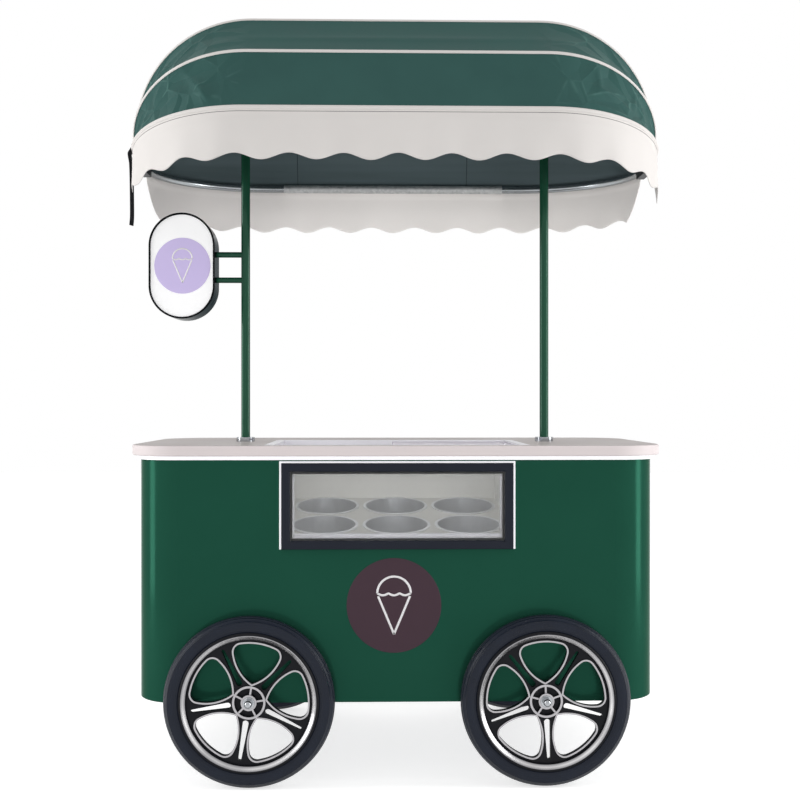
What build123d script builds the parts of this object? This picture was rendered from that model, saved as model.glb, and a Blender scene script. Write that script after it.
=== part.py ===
"""Ice cream cart: a display freezer on four spoked wheels under a hooped canopy.

Millimetres. The origin is on the ground under the middle of the cart. +X runs along the counter
to the customer's right, -Y faces the customer and +Z is up.
"""
from build123d import *
from math import acos, cos, radians, sin, tan
import os

# Running gear
WHEEL_R = 240
WHEEL_X = 416
WHEEL_Y = 410
WHEEL_TURN = {"front_left": -9.3, "front_right": 2.8, "rear_left": 20.0, "rear_right": -14.0}
RAIL_Y = 300
AXLE_R = 12
JOURNAL_R = 7.5
BEARING_R = 17.5
BEARING_W = 11
RUNNING_GAP = 0.05

# Body
COUNTER_TOP = 955
COUNTER_T = 30
COUNTER_L = 1550
COUNTER_W = 770
COUNTER_R = 150
OVERHANG = 25
SHEET = 2
BODY_L = COUNTER_L - 2 * OVERHANG
BODY_W = COUNTER_W - 2 * OVERHANG
BODY_R = COUNTER_R - OVERHANG
BODY_BOTTOM = 224
BODY_TOP = COUNTER_TOP - COUNTER_T
BODY_FRONT = -BODY_W / 2
BODY_REAR = BODY_W / 2
CHASSIS_Z = 256
TUBE = 30
FLOOR_Z = CHASSIS_Z + TUBE
FLOOR_T = 3
FLOOR_TOP = FLOOR_Z + FLOOR_T
STRIP_H = 11
STRIP_OUT = 12

# Window
WINDOW_L = 660
WINDOW_H = 245
WINDOW_Z = 782.5
WINDOW_BAR = 25
FRAME_PROUD = 14
GLASS_L = 616
GLASS_H = 201
PANE_Y = BODY_FRONT - 9
OUTER_PANE_T = 5
SPACER_T = 12
INNER_PANE_T = 4

# Freezer
FREEZER_X = 380
FREEZER_REAR = 190
FREEZER_BOTTOM = 470
CAVITY_X = 328
CAVITY_FRONT = -320
CAVITY_REAR = 140
CAVITY_FLOOR = 515
LINER_T = 1.5
PLATE_TILT = 10
PLATE_T = 4
TUB_PITCH = 215
TUB_HOLE_R = 95
TUB_R = 93.5
TUB_WALL = 1.2
TUB_DEPTH = 165
TUB_RIM_R = 101
FRONT_ROW_Y = -204
FRONT_ROW_Z = 712
BACK_PANEL_Y = 112
LID_OPENING = (766, 470)
LID_Y = -108
LID_T = 8
LID_OVERLAP = 8
LID_SEATS = ((204, BODY_TOP + 4), (212, BODY_TOP + 17), (218, COUNTER_TOP))
LID_RUN = LID_OPENING[0] / 2 - 25

# Posts, sign and canopy
POST_X = 472
POST_R = 14
POST_BORE = 12
COLLAR_R = 29
COLLAR_H = 14
SIGN_X = -665
SIGN_Z = 1503
SIGN_W = 205
SIGN_H = 330
SIGN_D = 100
SIGN_WALL = 3
ARM_R = 9
ARM_RISE = 40
HUB_X = 790
HUB_Z = 1820
HUB_R = 54
HUB_W = 24
HOOP_R = 430
HOOP_BEND = 362
HOOP_TUBE = 12.5
HOOP_BORE = 10.7
HOOP_START = 62
SLEEVE_R = 14
SLEEVE_HALF = 385
RIB_ANGLES = (35, 63, 119, 149)
FRONT_ANGLE = 10
RIDGE_ANGLE = 90
REAR_ANGLE = 178.5
CLOTH_GAP = 14.6
CLOTH_T = 2
CLOTH_START = 24
FRONT_DROP = 136
FRONT_LEFT_END = 145
REAR_DROP = 142
REAR_END_TOP = 100
REAR_END_HEM = 190
SCALLOP_PITCH = 152
SCALLOP_RISE = 9.5
SCALLOPS_EACH_SIDE = 7
STRAP_REACH = 137
STRAP_W = 25
STRAP_T = 1.8

# Rear doors
DOOR_OPENING_X = 372
DOOR_LOW = 490
DOOR_HIGH = 870
DOOR_T = 16
DOOR_GAP = 2
HINGE_R = 6
HINGE_PIN_R = 3
HINGE_Y = BODY_REAR + 6.5
HINGE_H = 24
HINGE_INSET = 60

# Machine bay
VENT_HALF = 158
VENT_LOW = 288
VENT_HIGH = 562
VENT_RIM = 18
INLET_XZ = (540, 340)
FAN_Z = 425
CONDENSER_X = 690
CONDENSER_D = 40
COMPRESSOR_XY = (560, 150)
COMPRESSOR_R = 72
COMPRESSOR_H = 198
PIPE_R = 4
COIL_Y = CAVITY_REAR - LINER_T - PIPE_R
COIL_TOP = 860
COIL_BOTTOM = 740

GREEN_SHELL = RectangleRounded(BODY_L, BODY_W, BODY_R)
SHELL_INSIDE = RectangleRounded(BODY_L - 2 * SHEET, BODY_W - 2 * SHEET, BODY_R - SHEET)


def block(x, y, z):
    """A box between two limits on each axis."""
    size = [limit[1] - limit[0] for limit in (x, y, z)]
    middle = [(limit[0] + limit[1]) / 2 for limit in (x, y, z)]
    return Pos(*middle) * Box(*size)


def prism(sketch, bottom, top):
    """A flat outline raised from one height to another."""
    return Pos(0, 0, bottom) * extrude(sketch, top - bottom)


def rod(start, end, radius):
    """A round bar between two points."""
    span = Vector(*end) - Vector(*start)
    foot = Plane(origin=start, z_dir=span)
    return extrude(foot * Circle(radius), span.length)


def tube_along(path, radius, bore):
    """A round tube swept along a path, left solid when bore is 0."""
    foot = Plane(origin=path @ 0, z_dir=path % 0)
    ring = Circle(radius) - Circle(bore) if bore else Circle(radius)
    return sweep(foot * ring, path=path)


def wheel_plane(place):
    """The wheel's own plane: its +Z points away from the cart, its +Y is up at zero turn."""
    side = -1 if "front" in place else 1
    x = -WHEEL_X if "left" in place else WHEEL_X
    plane = Plane(origin=(x, side * WHEEL_Y, WHEEL_R), x_dir=(-side, 0, 0), z_dir=(0, side, 0))
    return plane * Rot(0, 0, WHEEL_TURN[place])


# Running gear


def chassis_frame():
    """Two rails and five cross members of square tube, welded under the floor."""
    square = Rectangle(TUBE, TUBE) - Rectangle(TUBE - 5, TUBE - 5)
    rail_end = 690
    end_x = rail_end - TUBE / 2
    middle = CHASSIS_Z + TUBE / 2
    rail = extrude(Plane.YZ * square, rail_end, both=True)
    cross = extrude(Plane.XZ * square, RAIL_Y - TUBE / 2, both=True)
    rails = [Pos(0, y, middle) * rail for y in (-RAIL_Y, RAIL_Y)]
    crosses = [Pos(x, 0, middle) * cross for x in (-end_x, -WHEEL_X, 0, WHEEL_X, end_x)]
    return Compound(rails + crosses)


def axle(x):
    """A dead axle: a thick bar with a turned journal at each end."""
    shoulder = WHEEL_Y - 26
    tip = WHEEL_Y + 36
    bar = rod((x, -shoulder, WHEEL_R), (x, shoulder, WHEEL_R), AXLE_R)
    journal = rod((x, -tip, WHEEL_R), (x, tip, WHEEL_R), JOURNAL_R)
    return bar + journal


def axle_blocks():
    """Saddles that hold the axles under the rails."""
    saddle = block((-22, 22), (-18, 18), (226 - WHEEL_R, CHASSIS_Z - WHEEL_R))
    saddle = chamfer(saddle.edges().filter_by(Axis.Y).group_by(Axis.Z)[0], 6)
    saddle -= Rot(90, 0, 0) * Cylinder(AXLE_R, 40)
    return Compound([Pos(x, y, WHEEL_R) * saddle for x in (-WHEEL_X, WHEEL_X) for y in (-RAIL_Y, RAIL_Y)])


def axle_nut():
    """A domed hexagon nut on a washer, along the wheel's own axis."""
    washer = Pos(0, 0, 17) * extrude(Circle(16), 2)
    hexagon = Pos(0, 0, 19) * extrude(RegularPolygon(12.5, 6), 13)
    dome_edge = Line((0, 44), (0, 32)) + Line((0, 32), (11, 32)) + RadiusArc((11, 32), (0, 44), -11.5)
    dome = revolve(Plane.XZ * make_face(dome_edge), Axis.Z)
    return washer + hexagon + dome - Pos(0, 0, 26.5) * Cylinder(JOURNAL_R, 21)


def wheel_bearing_pair():
    """The two ball bearings of one hub, drawn as plain rings on the journal."""
    ring = extrude(Circle(BEARING_R - RUNNING_GAP) - Circle(JOURNAL_R), BEARING_W)
    return [Pos(0, 0, z) * ring for z in (-26, 6)]


def window_petal(grow):
    """Outline of one wheel window, grown evenly: where two side circles and the rim's circle meet."""
    side_r, side_x, side_y, rim, corner = 127.8, 56.8, 163.5, 167, 24
    sides = [Pos(x, side_y) * Circle(side_r + grow) for x in (-side_x, side_x)]
    petal = sides[0] & sides[1] & Circle(rim + grow)
    return fillet(petal.vertices().group_by(Axis.Y)[-1], corner + grow)


def wheel_casting():
    """Cast wheel: rim, five pairs of spokes with raised lips, hub ring with ribs, and a bored hub."""
    outer_edge = [(178, -24), (196, -24), (196, -20), (190, -20), (190, 20), (196, 20), (196, 23)]
    inner_edge = [(192, 26), (186, 25), (177, 17), (174, 6), (174, -14)]
    rim = revolve(Plane.XZ * make_face(Polyline(*outer_edge, *inner_edge, close=True)), Axis.Z)

    face, back, lip = 8, -6, 12
    lip_half = 2.3
    ring_out, ring_in = 46.5, 40.5
    opening = window_petal(-lip_half)
    border = window_petal(lip_half) - opening
    slot = make_hull((Pos(0, 60) * Circle(8.5)).edges() + (Pos(0, 160) * Circle(4.5)).edges())
    turns = [Rot(0, 0, 72 * i) for i in range(5)]
    plate = prism(Circle(180), back, face)
    lips = [turn * prism(border, face, lip) for turn in turns]
    ring = prism(Circle(ring_out) - Circle(ring_in), face, lip + 2)
    spider = plate + lips + ring - prism(Circle(ring_in), 1, face)
    spider -= [turn * prism(opening, back, lip) for turn in turns]
    spider -= [turn * Rot(0, 0, 36) * prism(slot, back, face) for turn in turns]

    rib = prism(Pos(0, 31) * Rectangle(5, 21), 0, lip)
    hub = prism(Circle(26), -26, 0) + prism(Circle(22), 0, 17) + [turn * rib for turn in turns]
    bore = prism(Circle(BEARING_R), -27, -26 + BEARING_W) + prism(Circle(BEARING_R), 6, 18)
    return rim + spider + hub - bore - Cylinder(12, 80)


def tyre():
    """A low tyre with bulged walls, a step at each shoulder and a round tread."""
    bead, seat, shoulder = 19.7, 190, 226
    wall = ThreePointArc((196.4, 20.2), (212, 25.6), (shoulder, 24.2))
    step = Line((shoulder, 24.2), (shoulder + 1.5, 22.6))
    tread = ThreePointArc((shoulder + 1.5, 22.6), (WHEEL_R, 0), (shoulder + 1.5, -22.6))
    side = Polyline((seat, 0), (seat, bead), (196.4, bead), (196.4, 20.2))
    half = side + wall + step
    profile = make_face(half + mirror(half, Plane.XZ) + tread)
    return revolve(Plane.XZ * profile, Axis.Z)


# Body


def floor_panel():
    """The cart's floor, on the chassis and inside the shell."""
    return prism(SHELL_INSIDE, FLOOR_Z, FLOOR_TOP)


def body_shell():
    """Green sheet wrap with round corners, cut for window, doors, vent, inlet and axles."""
    shell = prism(GREEN_SHELL - SHELL_INSIDE, BODY_BOTTOM, BODY_TOP)
    reach = 20
    front = (BODY_FRONT - reach, BODY_FRONT + reach)
    rear = (BODY_REAR - reach, BODY_REAR + reach)
    half_l, half_h = GLASS_L / 2 + 1, GLASS_H / 2 + 1
    shell -= block((-half_l, half_l), front, (WINDOW_Z - half_h, WINDOW_Z + half_h))
    shell -= block((-DOOR_OPENING_X, DOOR_OPENING_X), rear, (DOOR_LOW, DOOR_HIGH))
    right = (BODY_L / 2 - reach, BODY_L / 2 + reach)
    vent = VENT_HALF - VENT_RIM
    shell -= block(right, (-vent, vent), (VENT_LOW + VENT_RIM, VENT_HIGH - VENT_RIM))
    x, z = INLET_XZ
    shell -= block((x - 15, x + 15), rear, (z - 11, z + 11))
    wide = AXLE_R + 1
    for x in (-WHEEL_X, WHEEL_X):
        shell -= rod((x, -BODY_W, WHEEL_R), (x, BODY_W, WHEEL_R), wide)
        shell -= block((x - wide, x + wide), (-BODY_W, BODY_W), (BODY_BOTTOM - 1, WHEEL_R))
    return shell


def partitions():
    """Two upright sheets that carry the freezer and close off the machine bay."""
    heights = (FLOOR_TOP, BODY_TOP)
    depth = (BODY_FRONT + SHEET, BODY_REAR - DOOR_T - 4)
    left = block((-FREEZER_X - SHEET, -FREEZER_X), depth, heights)
    right = block((FREEZER_X, FREEZER_X + SHEET), depth, heights)
    return Compound([left, right - pipe_holes()])


def counter_top():
    """White slab with eased edges, the freezer opening and a seat for each post collar."""
    slab = prism(RectangleRounded(COUNTER_L, COUNTER_W, COUNTER_R), BODY_TOP, COUNTER_TOP)
    slab = fillet(slab.edges().group_by(Axis.Z)[-1] + slab.edges().group_by(Axis.Z)[0], 4)
    slab -= prism(Pos(0, LID_Y) * RectangleRounded(*LID_OPENING, 8), BODY_TOP, COUNTER_TOP)
    for x in (-POST_X, POST_X):
        slab -= prism(Pos(x, 0) * Circle(COLLAR_R), BODY_TOP, COUNTER_TOP)
    return slab


def light_strips():
    """Milky light strips: a band under the counter and a frame round three sides of the window."""
    grown = RectangleRounded(BODY_L + 2 * STRIP_OUT, BODY_W + 2 * STRIP_OUT, BODY_R + STRIP_OUT)
    band = prism(grown - GREEN_SHELL, BODY_TOP - STRIP_H, BODY_TOP)
    side, top, thick = 6, 5, 6
    half, low, high = WINDOW_L / 2, WINDOW_Z - WINDOW_H / 2, WINDOW_Z + WINDOW_H / 2
    depth = (BODY_FRONT - thick, BODY_FRONT)
    frame = block((-half - side, half + side), depth, (low, high + top))
    return Compound([band, frame - block((-half, half), depth, (low, high))])


def window_frame():
    """Black frame on the shell, with a sloped inner edge and a rebate that takes the glass."""
    half, half_h = WINDOW_L / 2, WINDOW_H / 2
    front = BODY_FRONT - FRAME_PROUD
    frame = block((-half, half), (front, BODY_FRONT), (WINDOW_Z - half_h, WINDOW_Z + half_h))
    frame = chamfer(frame.faces().sort_by(Axis.Y)[0].edges(), 2)
    sight = Plane.XZ.offset(-front) * Pos(0, WINDOW_Z)
    mouth = Rectangle(WINDOW_L - 2 * WINDOW_BAR + 8, WINDOW_H - 2 * WINDOW_BAR + 8)
    frame -= extrude(sight * mouth, -5, taper=38)
    rebate = Rectangle(GLASS_L, GLASS_H)
    return frame - extrude(Plane.XZ.offset(-PANE_Y) * Pos(0, WINDOW_Z) * rebate, -20)


def glass_sheet(front, thickness):
    half_l, half_h = GLASS_L / 2, GLASS_H / 2
    return block((-half_l, half_l), (front, front + thickness), (WINDOW_Z - half_h, WINDOW_Z + half_h))


def window_panes():
    """Double glazing: outer and inner pane."""
    outer = glass_sheet(PANE_Y, OUTER_PANE_T)
    return Compound([outer, glass_sheet(PANE_Y + OUTER_PANE_T + SPACER_T, INNER_PANE_T)])


def window_spacer():
    """Aluminium spacer bar round the edge of the two panes."""
    bar = 9
    front = PANE_Y + OUTER_PANE_T
    spacer = glass_sheet(front, SPACER_T)
    half_l, half_h = GLASS_L / 2 - bar, GLASS_H / 2 - bar
    heights = (WINDOW_Z - half_h, WINDOW_Z + half_h)
    return spacer - block((-half_l, half_l), (front, front + SPACER_T), heights)


# Freezer


def cavity(grow):
    """The freezer's inside, open at the top, grown outwards by a skin thickness."""
    x = CAVITY_X + grow
    depth = (CAVITY_FRONT - grow, CAVITY_REAR + grow)
    return block((-x, x), depth, (CAVITY_FLOOR - grow, BODY_TOP))


def pipe_holes():
    """Two holes where the coil's pipe passes the freezer's side wall."""
    levels = (COIL_TOP, COIL_BOTTOM)
    return [rod((CAVITY_X - 10, COIL_Y, z), (FREEZER_X + 10, COIL_Y, z), PIPE_R + 0.5) for z in levels]


def window_tunnel():
    """The way from the window through the freezer's front wall."""
    half_l, half_h = GLASS_L / 2, GLASS_H / 2
    depth = (BODY_FRONT, CAVITY_FRONT + LINER_T)
    return block((-half_l, half_l), depth, (WINDOW_Z - half_h, WINDOW_Z + half_h))


def freezer_cabinet():
    """Insulated box between the partitions, hung under the counter."""
    box = block((-FREEZER_X, FREEZER_X), (BODY_FRONT + SHEET, FREEZER_REAR), (FREEZER_BOTTOM, BODY_TOP))
    return box - cavity(0) - window_tunnel() - pipe_holes()


def freezer_liner():
    """Thin pressed liner on the inside of the cabinet."""
    return cavity(0) - cavity(-LINER_T) - window_tunnel() - pipe_holes()


def plate_plane():
    """Top of the tub plate, midway between the two rows; its +Z leans towards the customer."""
    tilt = radians(PLATE_TILT)
    half = TUB_PITCH / 2
    origin = (0, FRONT_ROW_Y + half * cos(tilt), FRONT_ROW_Z + half * sin(tilt))
    return Plane(origin=origin, x_dir=(1, 0, 0), z_dir=(0, -sin(tilt), cos(tilt)))


def tub_places():
    """Tub centres on the plate, front row first, each row from left to right."""
    return [(x, y) for y in (-TUB_PITCH / 2, TUB_PITCH / 2) for x in (-TUB_PITCH, 0, TUB_PITCH)]


def tub_plate():
    """Sloping white plate with six tub holes, turned up behind as a back panel."""
    plane = plate_plane()
    front = (CAVITY_FRONT + 3 - plane.origin.Y) / cos(radians(PLATE_TILT))
    rear = (BACK_PANEL_Y - 1 - plane.origin.Y) / cos(radians(PLATE_TILT))
    half = CAVITY_X - LINER_T
    plate = block((-half, half), (front, rear), (-PLATE_T, 0))
    plate -= [Pos(x, y) * Cylinder(TUB_HOLE_R, 4 * PLATE_T) for x, y in tub_places()]
    foot = plane.origin.Z + (BACK_PANEL_Y - plane.origin.Y) * tan(radians(PLATE_TILT)) - PLATE_T
    panel = block((-half, half), (BACK_PANEL_Y - 3, BACK_PANEL_Y), (foot, BODY_TOP - 10))
    return plane * plate + panel


def tub(x, y):
    """Spun steel tub with a rolled rim that hangs on the plate."""
    corner, rim_t, seat = 22, 2.5, 0.05
    bottom = -TUB_DEPTH
    inner = TUB_R - TUB_WALL
    wall = Polyline((TUB_R, bottom + corner), (TUB_R, seat), (TUB_RIM_R, seat), (TUB_RIM_R, rim_t),
                    (inner, rim_t), (inner, bottom + corner))
    base = bottom + TUB_WALL
    inner_bend = JernArc((inner, bottom + corner), (0, -1), corner - TUB_WALL, -90)
    outer_bend = JernArc((TUB_R, bottom + corner), (0, -1), corner, -90)
    flat = Polyline(inner_bend @ 1, (0, base), (0, bottom), outer_bend @ 1)
    profile = make_face(wall + inner_bend + flat + outer_bend)
    return plate_plane() * Pos(x, y) * revolve(Plane.XZ * profile, Axis.Z)


def lid_track():
    """Frame in the counter opening, stepped so that one lid slides over the other."""
    length, width = LID_OPENING
    track = prism(RectangleRounded(length, width, 8), BODY_TOP, COUNTER_TOP)
    bottom = BODY_TOP
    for half_width, top in LID_SEATS:
        track -= prism(Rectangle(2 * LID_RUN, 2 * half_width), bottom, top)
        bottom = top
    return Pos(0, LID_Y) * track


def lid(side):
    """Glass lid with a ground finger pull; the left one runs under the right one."""
    seat = 0 if side < 0 else 1
    half_width = LID_SEATS[seat + 1][0] - 0.5
    bottom = LID_SEATS[seat][1] + 0.3
    length = LID_RUN - 0.5 + LID_OVERLAP
    middle = side * (length / 2 - LID_OVERLAP)
    sheet = prism(RectangleRounded(length, 2 * half_width, 6), bottom, bottom + LID_T)
    pull = Pos(side * (length / 2 - 26), 0) * Rot(0, 0, 90) * SlotOverall(90, 18)
    sheet -= prism(pull, bottom + LID_T - 3, bottom + LID_T)
    return Pos(middle, LID_Y) * sheet


# Machine bay


def compressor():
    """Hermetic compressor: a welded dome on a foot plate, with its terminal box."""
    x, y = COMPRESSOR_XY
    can = prism(Circle(COMPRESSOR_R), 12, COMPRESSOR_H)
    can = fillet(can.edges().group_by(Axis.Z)[-1], 50)
    seam = prism(Circle(COMPRESSOR_R + 3), 92, 98)
    foot = prism(RectangleRounded(170, 120, 14), 0, 5)
    legs = [Pos(sx * 52, sy * 36) * prism(Circle(9), 5, 16) for sx in (-1, 1) for sy in (-1, 1)]
    box = block((-30, 30), (COMPRESSOR_R - 14, COMPRESSOR_R + 26), (60, 120))
    return Pos(x, y, FLOOR_TOP) * (can + seam + foot + legs + box)


def condenser():
    """Finned block: upright fins on six tubes, between two end plates that stand on the floor."""
    low, high, half = 320, 545, 125
    depth = (CONDENSER_X, CONDENSER_X + CONDENSER_D)
    fins = [block(depth, (y - 0.8, y + 0.8), (low, high)) for y in range(-112, 113, 14)]
    ends = [block(depth, (y - 1.5, y + 1.5), (FLOOR_TOP, high + 6)) for y in (-half, half)]
    middle = CONDENSER_X + CONDENSER_D / 2
    levels = [345 + 34 * i for i in range(6)]
    tubes = [rod((middle, -half - 8, z), (middle, half + 8, z), 5) for z in levels]
    return ends[0] + ends[1] + fins + tubes


def fan_shroud():
    """Ring in a square plate on the condenser, with the fan motor on three arms."""
    plate = block((CONDENSER_X - 2, CONDENSER_X), (-118, 118), (FAN_Z - 105, FAN_Z + 118))
    axis = Plane(origin=(CONDENSER_X, 0, FAN_Z), z_dir=(-1, 0, 0))
    ring = axis * prism(Circle(106) - Circle(103), 0, 34)
    shroud = plate + ring - axis * prism(Circle(103), -5, 40)
    motor = axis * (prism(Circle(34), 34, 66) + prism(Circle(4), 4, 34))
    arm = block((20, 105), (-6, 6), (34, 40))
    return shroud + [axis * Rot(0, 0, turn) * arm for turn in (90, 210, 330)] + motor


def fan_blade():
    """Five pitched blades on a hub that turns on the motor's shaft."""
    axis = Plane(origin=(CONDENSER_X, 0, FAN_Z), z_dir=(-1, 0, 0))
    hub = prism(Circle(22), 8, 24)
    blade = Pos(56, 0, 16) * Rot(32, 0, 0) * extrude(RectangleRounded(78, 42, 12), 1, both=True)
    fan = hub + [Rot(0, 0, 72 * i) * blade for i in range(5)]
    return axis * (fan - Cylinder(4 + RUNNING_GAP, 100))


def refrigerant_pipes():
    """Copper: the hot pipe to the condenser, and the return through the freezer's coil."""
    x, y = COMPRESSOR_XY
    top = FLOOR_TOP + COMPRESSOR_H
    condenser_x = CONDENSER_X + CONDENSER_D / 2
    hot = [(x + 15, y, top), (x + 15, y, 580), (condenser_x, y, 580), (condenser_x, y, 515),
           (condenser_x, 133, 515)]
    drop = (COIL_TOP - COIL_BOTTOM) / 3
    levels = [COIL_TOP - drop * i for i in range(4)]
    left, right = -300, 300
    coil = [(430, 260, 345), (430, 260, levels[0]), (430, COIL_Y, levels[0]), (left, COIL_Y, levels[0]),
            (left, COIL_Y, levels[1]), (right, COIL_Y, levels[1]), (right, COIL_Y, levels[2]),
            (left, COIL_Y, levels[2]), (left, COIL_Y, levels[3]), (410, COIL_Y, levels[3])]
    cold = [(condenser_x, 133, 345), (condenser_x, 260, 345), *coil, (410, COIL_Y, 530),
            (x - 12, COIL_Y, 530), (x - 12, COIL_Y, top)]
    bend = 16
    return Compound([tube_along(FilletPolyline(*path, radius=bend), PIPE_R, 0) for path in (hot, cold)])


def side_vent():
    """Louvred panel on the right-hand end, in front of the condenser."""
    outer = BODY_L / 2
    edge = VENT_RIM + 4
    inner = VENT_HALF - edge
    panel = block((outer, outer + 2), (-VENT_HALF, VENT_HALF), (VENT_LOW, VENT_HIGH))
    panel = fillet(panel.edges().filter_by(Axis.X), 10)
    panel -= block((outer, outer + 2), (-inner, inner), (VENT_LOW + edge, VENT_HIGH - edge))
    slat = Rot(0, -38, 0) * Box(26, 2 * inner, 1.5)
    rows = [Pos(outer - 4, 0, z) * slat for z in range(VENT_LOW + 34, VENT_HIGH - 26, 20)]
    return panel + rows


def door(side):
    """Folded steel door with the upper halves of its lift-off hinges welded on."""
    outer, inner = DOOR_OPENING_X - DOOR_GAP, DOOR_GAP / 2
    low, high = DOOR_LOW + DOOR_GAP, DOOR_HIGH - DOOR_GAP
    front = BODY_REAR - DOOR_T
    pan = block((inner, outer), (front, BODY_REAR), (low, high))
    hollow = block((inner + 1.5, outer - 1.5), (front, BODY_REAR - 1.5), (low + 1.5, high - 1.5))
    leaf_x = DOOR_OPENING_X - DOOR_GAP / 2
    for z in (low + HINGE_INSET, high - HINGE_INSET):
        knuckle = Pos(leaf_x, HINGE_Y, z + 0.3) * extrude(Circle(HINGE_R), HINGE_H)
        leaf = block((leaf_x - 26, leaf_x), (BODY_REAR, BODY_REAR + 2), (z + 0.3, z + 0.3 + HINGE_H))
        pin_hole = Pos(leaf_x, HINGE_Y, z) * extrude(Circle(HINGE_PIN_R + RUNNING_GAP), HINGE_H - 2)
        pan += knuckle + leaf
        pan -= pin_hole
    panel = pan - hollow
    return panel if side > 0 else mirror(panel, Plane.YZ)


def door_hinges():
    """The fixed lower halves of the four lift-off hinges, with their pins."""
    low, high = DOOR_LOW + DOOR_GAP, DOOR_HIGH - DOOR_GAP
    halves = []
    for side in (-1, 1):
        x = side * (DOOR_OPENING_X - DOOR_GAP / 2)
        for z in (low + HINGE_INSET, high - HINGE_INSET):
            knuckle = Pos(x, HINGE_Y, z - HINGE_H) * extrude(Circle(HINGE_R), HINGE_H)
            pin = Pos(x, HINGE_Y, z) * extrude(Circle(HINGE_PIN_R), HINGE_H - 4)
            ends = sorted((x + side, x + side * 27))
            leaf = block(ends, (BODY_REAR, BODY_REAR + 2), (z - HINGE_H, z))
            halves.append(knuckle + pin + leaf)
    return Compound(halves)


def door_handle(side):
    """Bow handle near the free edge of a door."""
    x = side * 46
    out = BODY_REAR + 34
    low, high = 620, 740
    corners = [(x, BODY_REAR, low), (x, out, low), (x, out, high), (x, BODY_REAR, high)]
    return tube_along(FilletPolyline(*corners, radius=12), 5, 0)


def power_inlet():
    """Flush mains inlet with a shrouded socket and three flat pins."""
    x, z = INLET_XZ
    flange = block((x - 25, x + 25), (BODY_REAR, BODY_REAR + 3), (z - 16, z + 16))
    flange = fillet(flange.edges().filter_by(Axis.Y), 5)
    body = block((x - 15, x + 15), (BODY_REAR - 26, BODY_REAR), (z - 11, z + 11))
    socket = block((x - 12, x + 12), (BODY_REAR - 16, BODY_REAR + 3), (z - 8, z + 8))
    pins = [block((x + dx - 1, x + dx + 1), (BODY_REAR - 16, BODY_REAR - 2), (z + dz - 2, z + dz + 2))
            for dx, dz in ((-7, -2), (0, 2), (7, -2))]
    return flange + body - socket + pins


# Posts and sign


def post(x):
    """Steel post from its floor socket to the ridge hoop; the left one carries the sign's arms."""
    top = HUB_Z + HOOP_R
    mast = rod((x, 0, FLOOR_TOP), (x, 0, top), POST_R)
    bores = [rod((x, 0, FLOOR_TOP), (x, 0, top), POST_BORE)]
    if x < 0:
        band = SIGN_X + SIGN_W / 2
        for z in (SIGN_Z - ARM_RISE, SIGN_Z + ARM_RISE):
            mast += rod((x, 0, z), (band, 0, z), ARM_R)
            bores.append(rod((x - POST_R, 0, z), (band, 0, z), ARM_R - 2))
    return mast - bores - tube_along(hoop_path(RIDGE_ANGLE), HOOP_TUBE, 0)


def post_collars():
    """Turned collars let into the counter, and sockets on the floor."""
    collar = prism(Circle(COLLAR_R), BODY_TOP, COUNTER_TOP + COLLAR_H)
    collar = fillet(collar.edges().group_by(Axis.Z)[-1], 2) - Cylinder(POST_R, 4 * COUNTER_TOP)
    socket = prism(Circle(COLLAR_R), 0, 5) + prism(Circle(21), 5, 45) - Cylinder(POST_R, 200)
    return Compound([piece for x in (-POST_X, POST_X)
                     for piece in (Pos(x) * collar, Pos(x, 0, FLOOR_TOP) * socket)])


def sign_outline(inset):
    """The sign's round-ended outline, upright at its place, seen from the front."""
    slot = Rot(0, 0, 90) * SlotOverall(SIGN_H - 2 * inset, SIGN_W - 2 * inset)
    return Plane.XZ * Pos(SIGN_X, SIGN_Z) * slot


def sign_band():
    """Polished band of the light box, with a rolled lip in front of each face."""
    half = SIGN_D / 2
    lip = 3
    band = extrude(sign_outline(0), half, both=True)
    band -= extrude(sign_outline(SIGN_WALL), half - lip, both=True)
    return band - extrude(sign_outline(2 * SIGN_WALL), half, both=True)


def sign_faces():
    """Milky front and back face of the light box."""
    face_t = 4
    reach = SIGN_D / 2 - 3
    slab = extrude(sign_outline(SIGN_WALL), face_t / 2, both=True)
    return Compound([Pos(0, side * (reach - face_t / 2), 0) * slab for side in (-1, 1)])


# Canopy


def hoop_plane(angle):
    """Plane of a hoop: X along the cart, Y out from the hubs' axis at an angle from the front."""
    a = radians(angle)
    return Plane(origin=(0, 0, HUB_Z), x_dir=(1, 0, 0), z_dir=(0, -sin(a), -cos(a)))


def hoop_line(grow, start):
    """Line of a hoop in its own plane, moved outwards: leg, bend, bar, bend, leg."""
    x, r = HUB_X + grow, HOOP_R + grow
    return FilletPolyline((-x, start), (-x, r), (x, r), (x, start), radius=HOOP_BEND + grow)


def hoop_path(angle):
    """Centre line of one canopy tube, from hub to hub."""
    return hoop_plane(angle) * hoop_line(0, HOOP_START)


def hoop(angle):
    """One bent tube of the canopy, with a stouter sleeve over the middle of its bar."""
    ends = [hoop_plane(angle).from_local_coords((x, HOOP_R, 0)) for x in (-SLEEVE_HALF, SLEEVE_HALF)]
    sleeve = rod(*ends, SLEEVE_R) - rod(*ends, HOOP_TUBE)
    return tube_along(hoop_path(angle), HOOP_TUBE, HOOP_BORE) + sleeve


def canopy_hub(side):
    """Moulded end hub with a stub for each hoop."""
    angles = (FRONT_ANGLE, *RIB_ANGLES, RIDGE_ANGLE, REAR_ANGLE)
    disc = Pos(side * HUB_X, 0, HUB_Z) * Rot(0, 90, 0) * Cylinder(HUB_R, HUB_W)
    disc -= block((-2 * HUB_X, 2 * HUB_X), (-100, 100), (HUB_Z - 100, HUB_Z - 24))
    x = side * HUB_X
    for angle in angles:
        plane = hoop_plane(angle)
        foot, tip = (plane.from_local_coords((x, r, 0)) for r in (30, HOOP_R - HOOP_BEND))
        disc += rod(foot, tip, HOOP_BORE - 0.1)
    return disc


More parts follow.
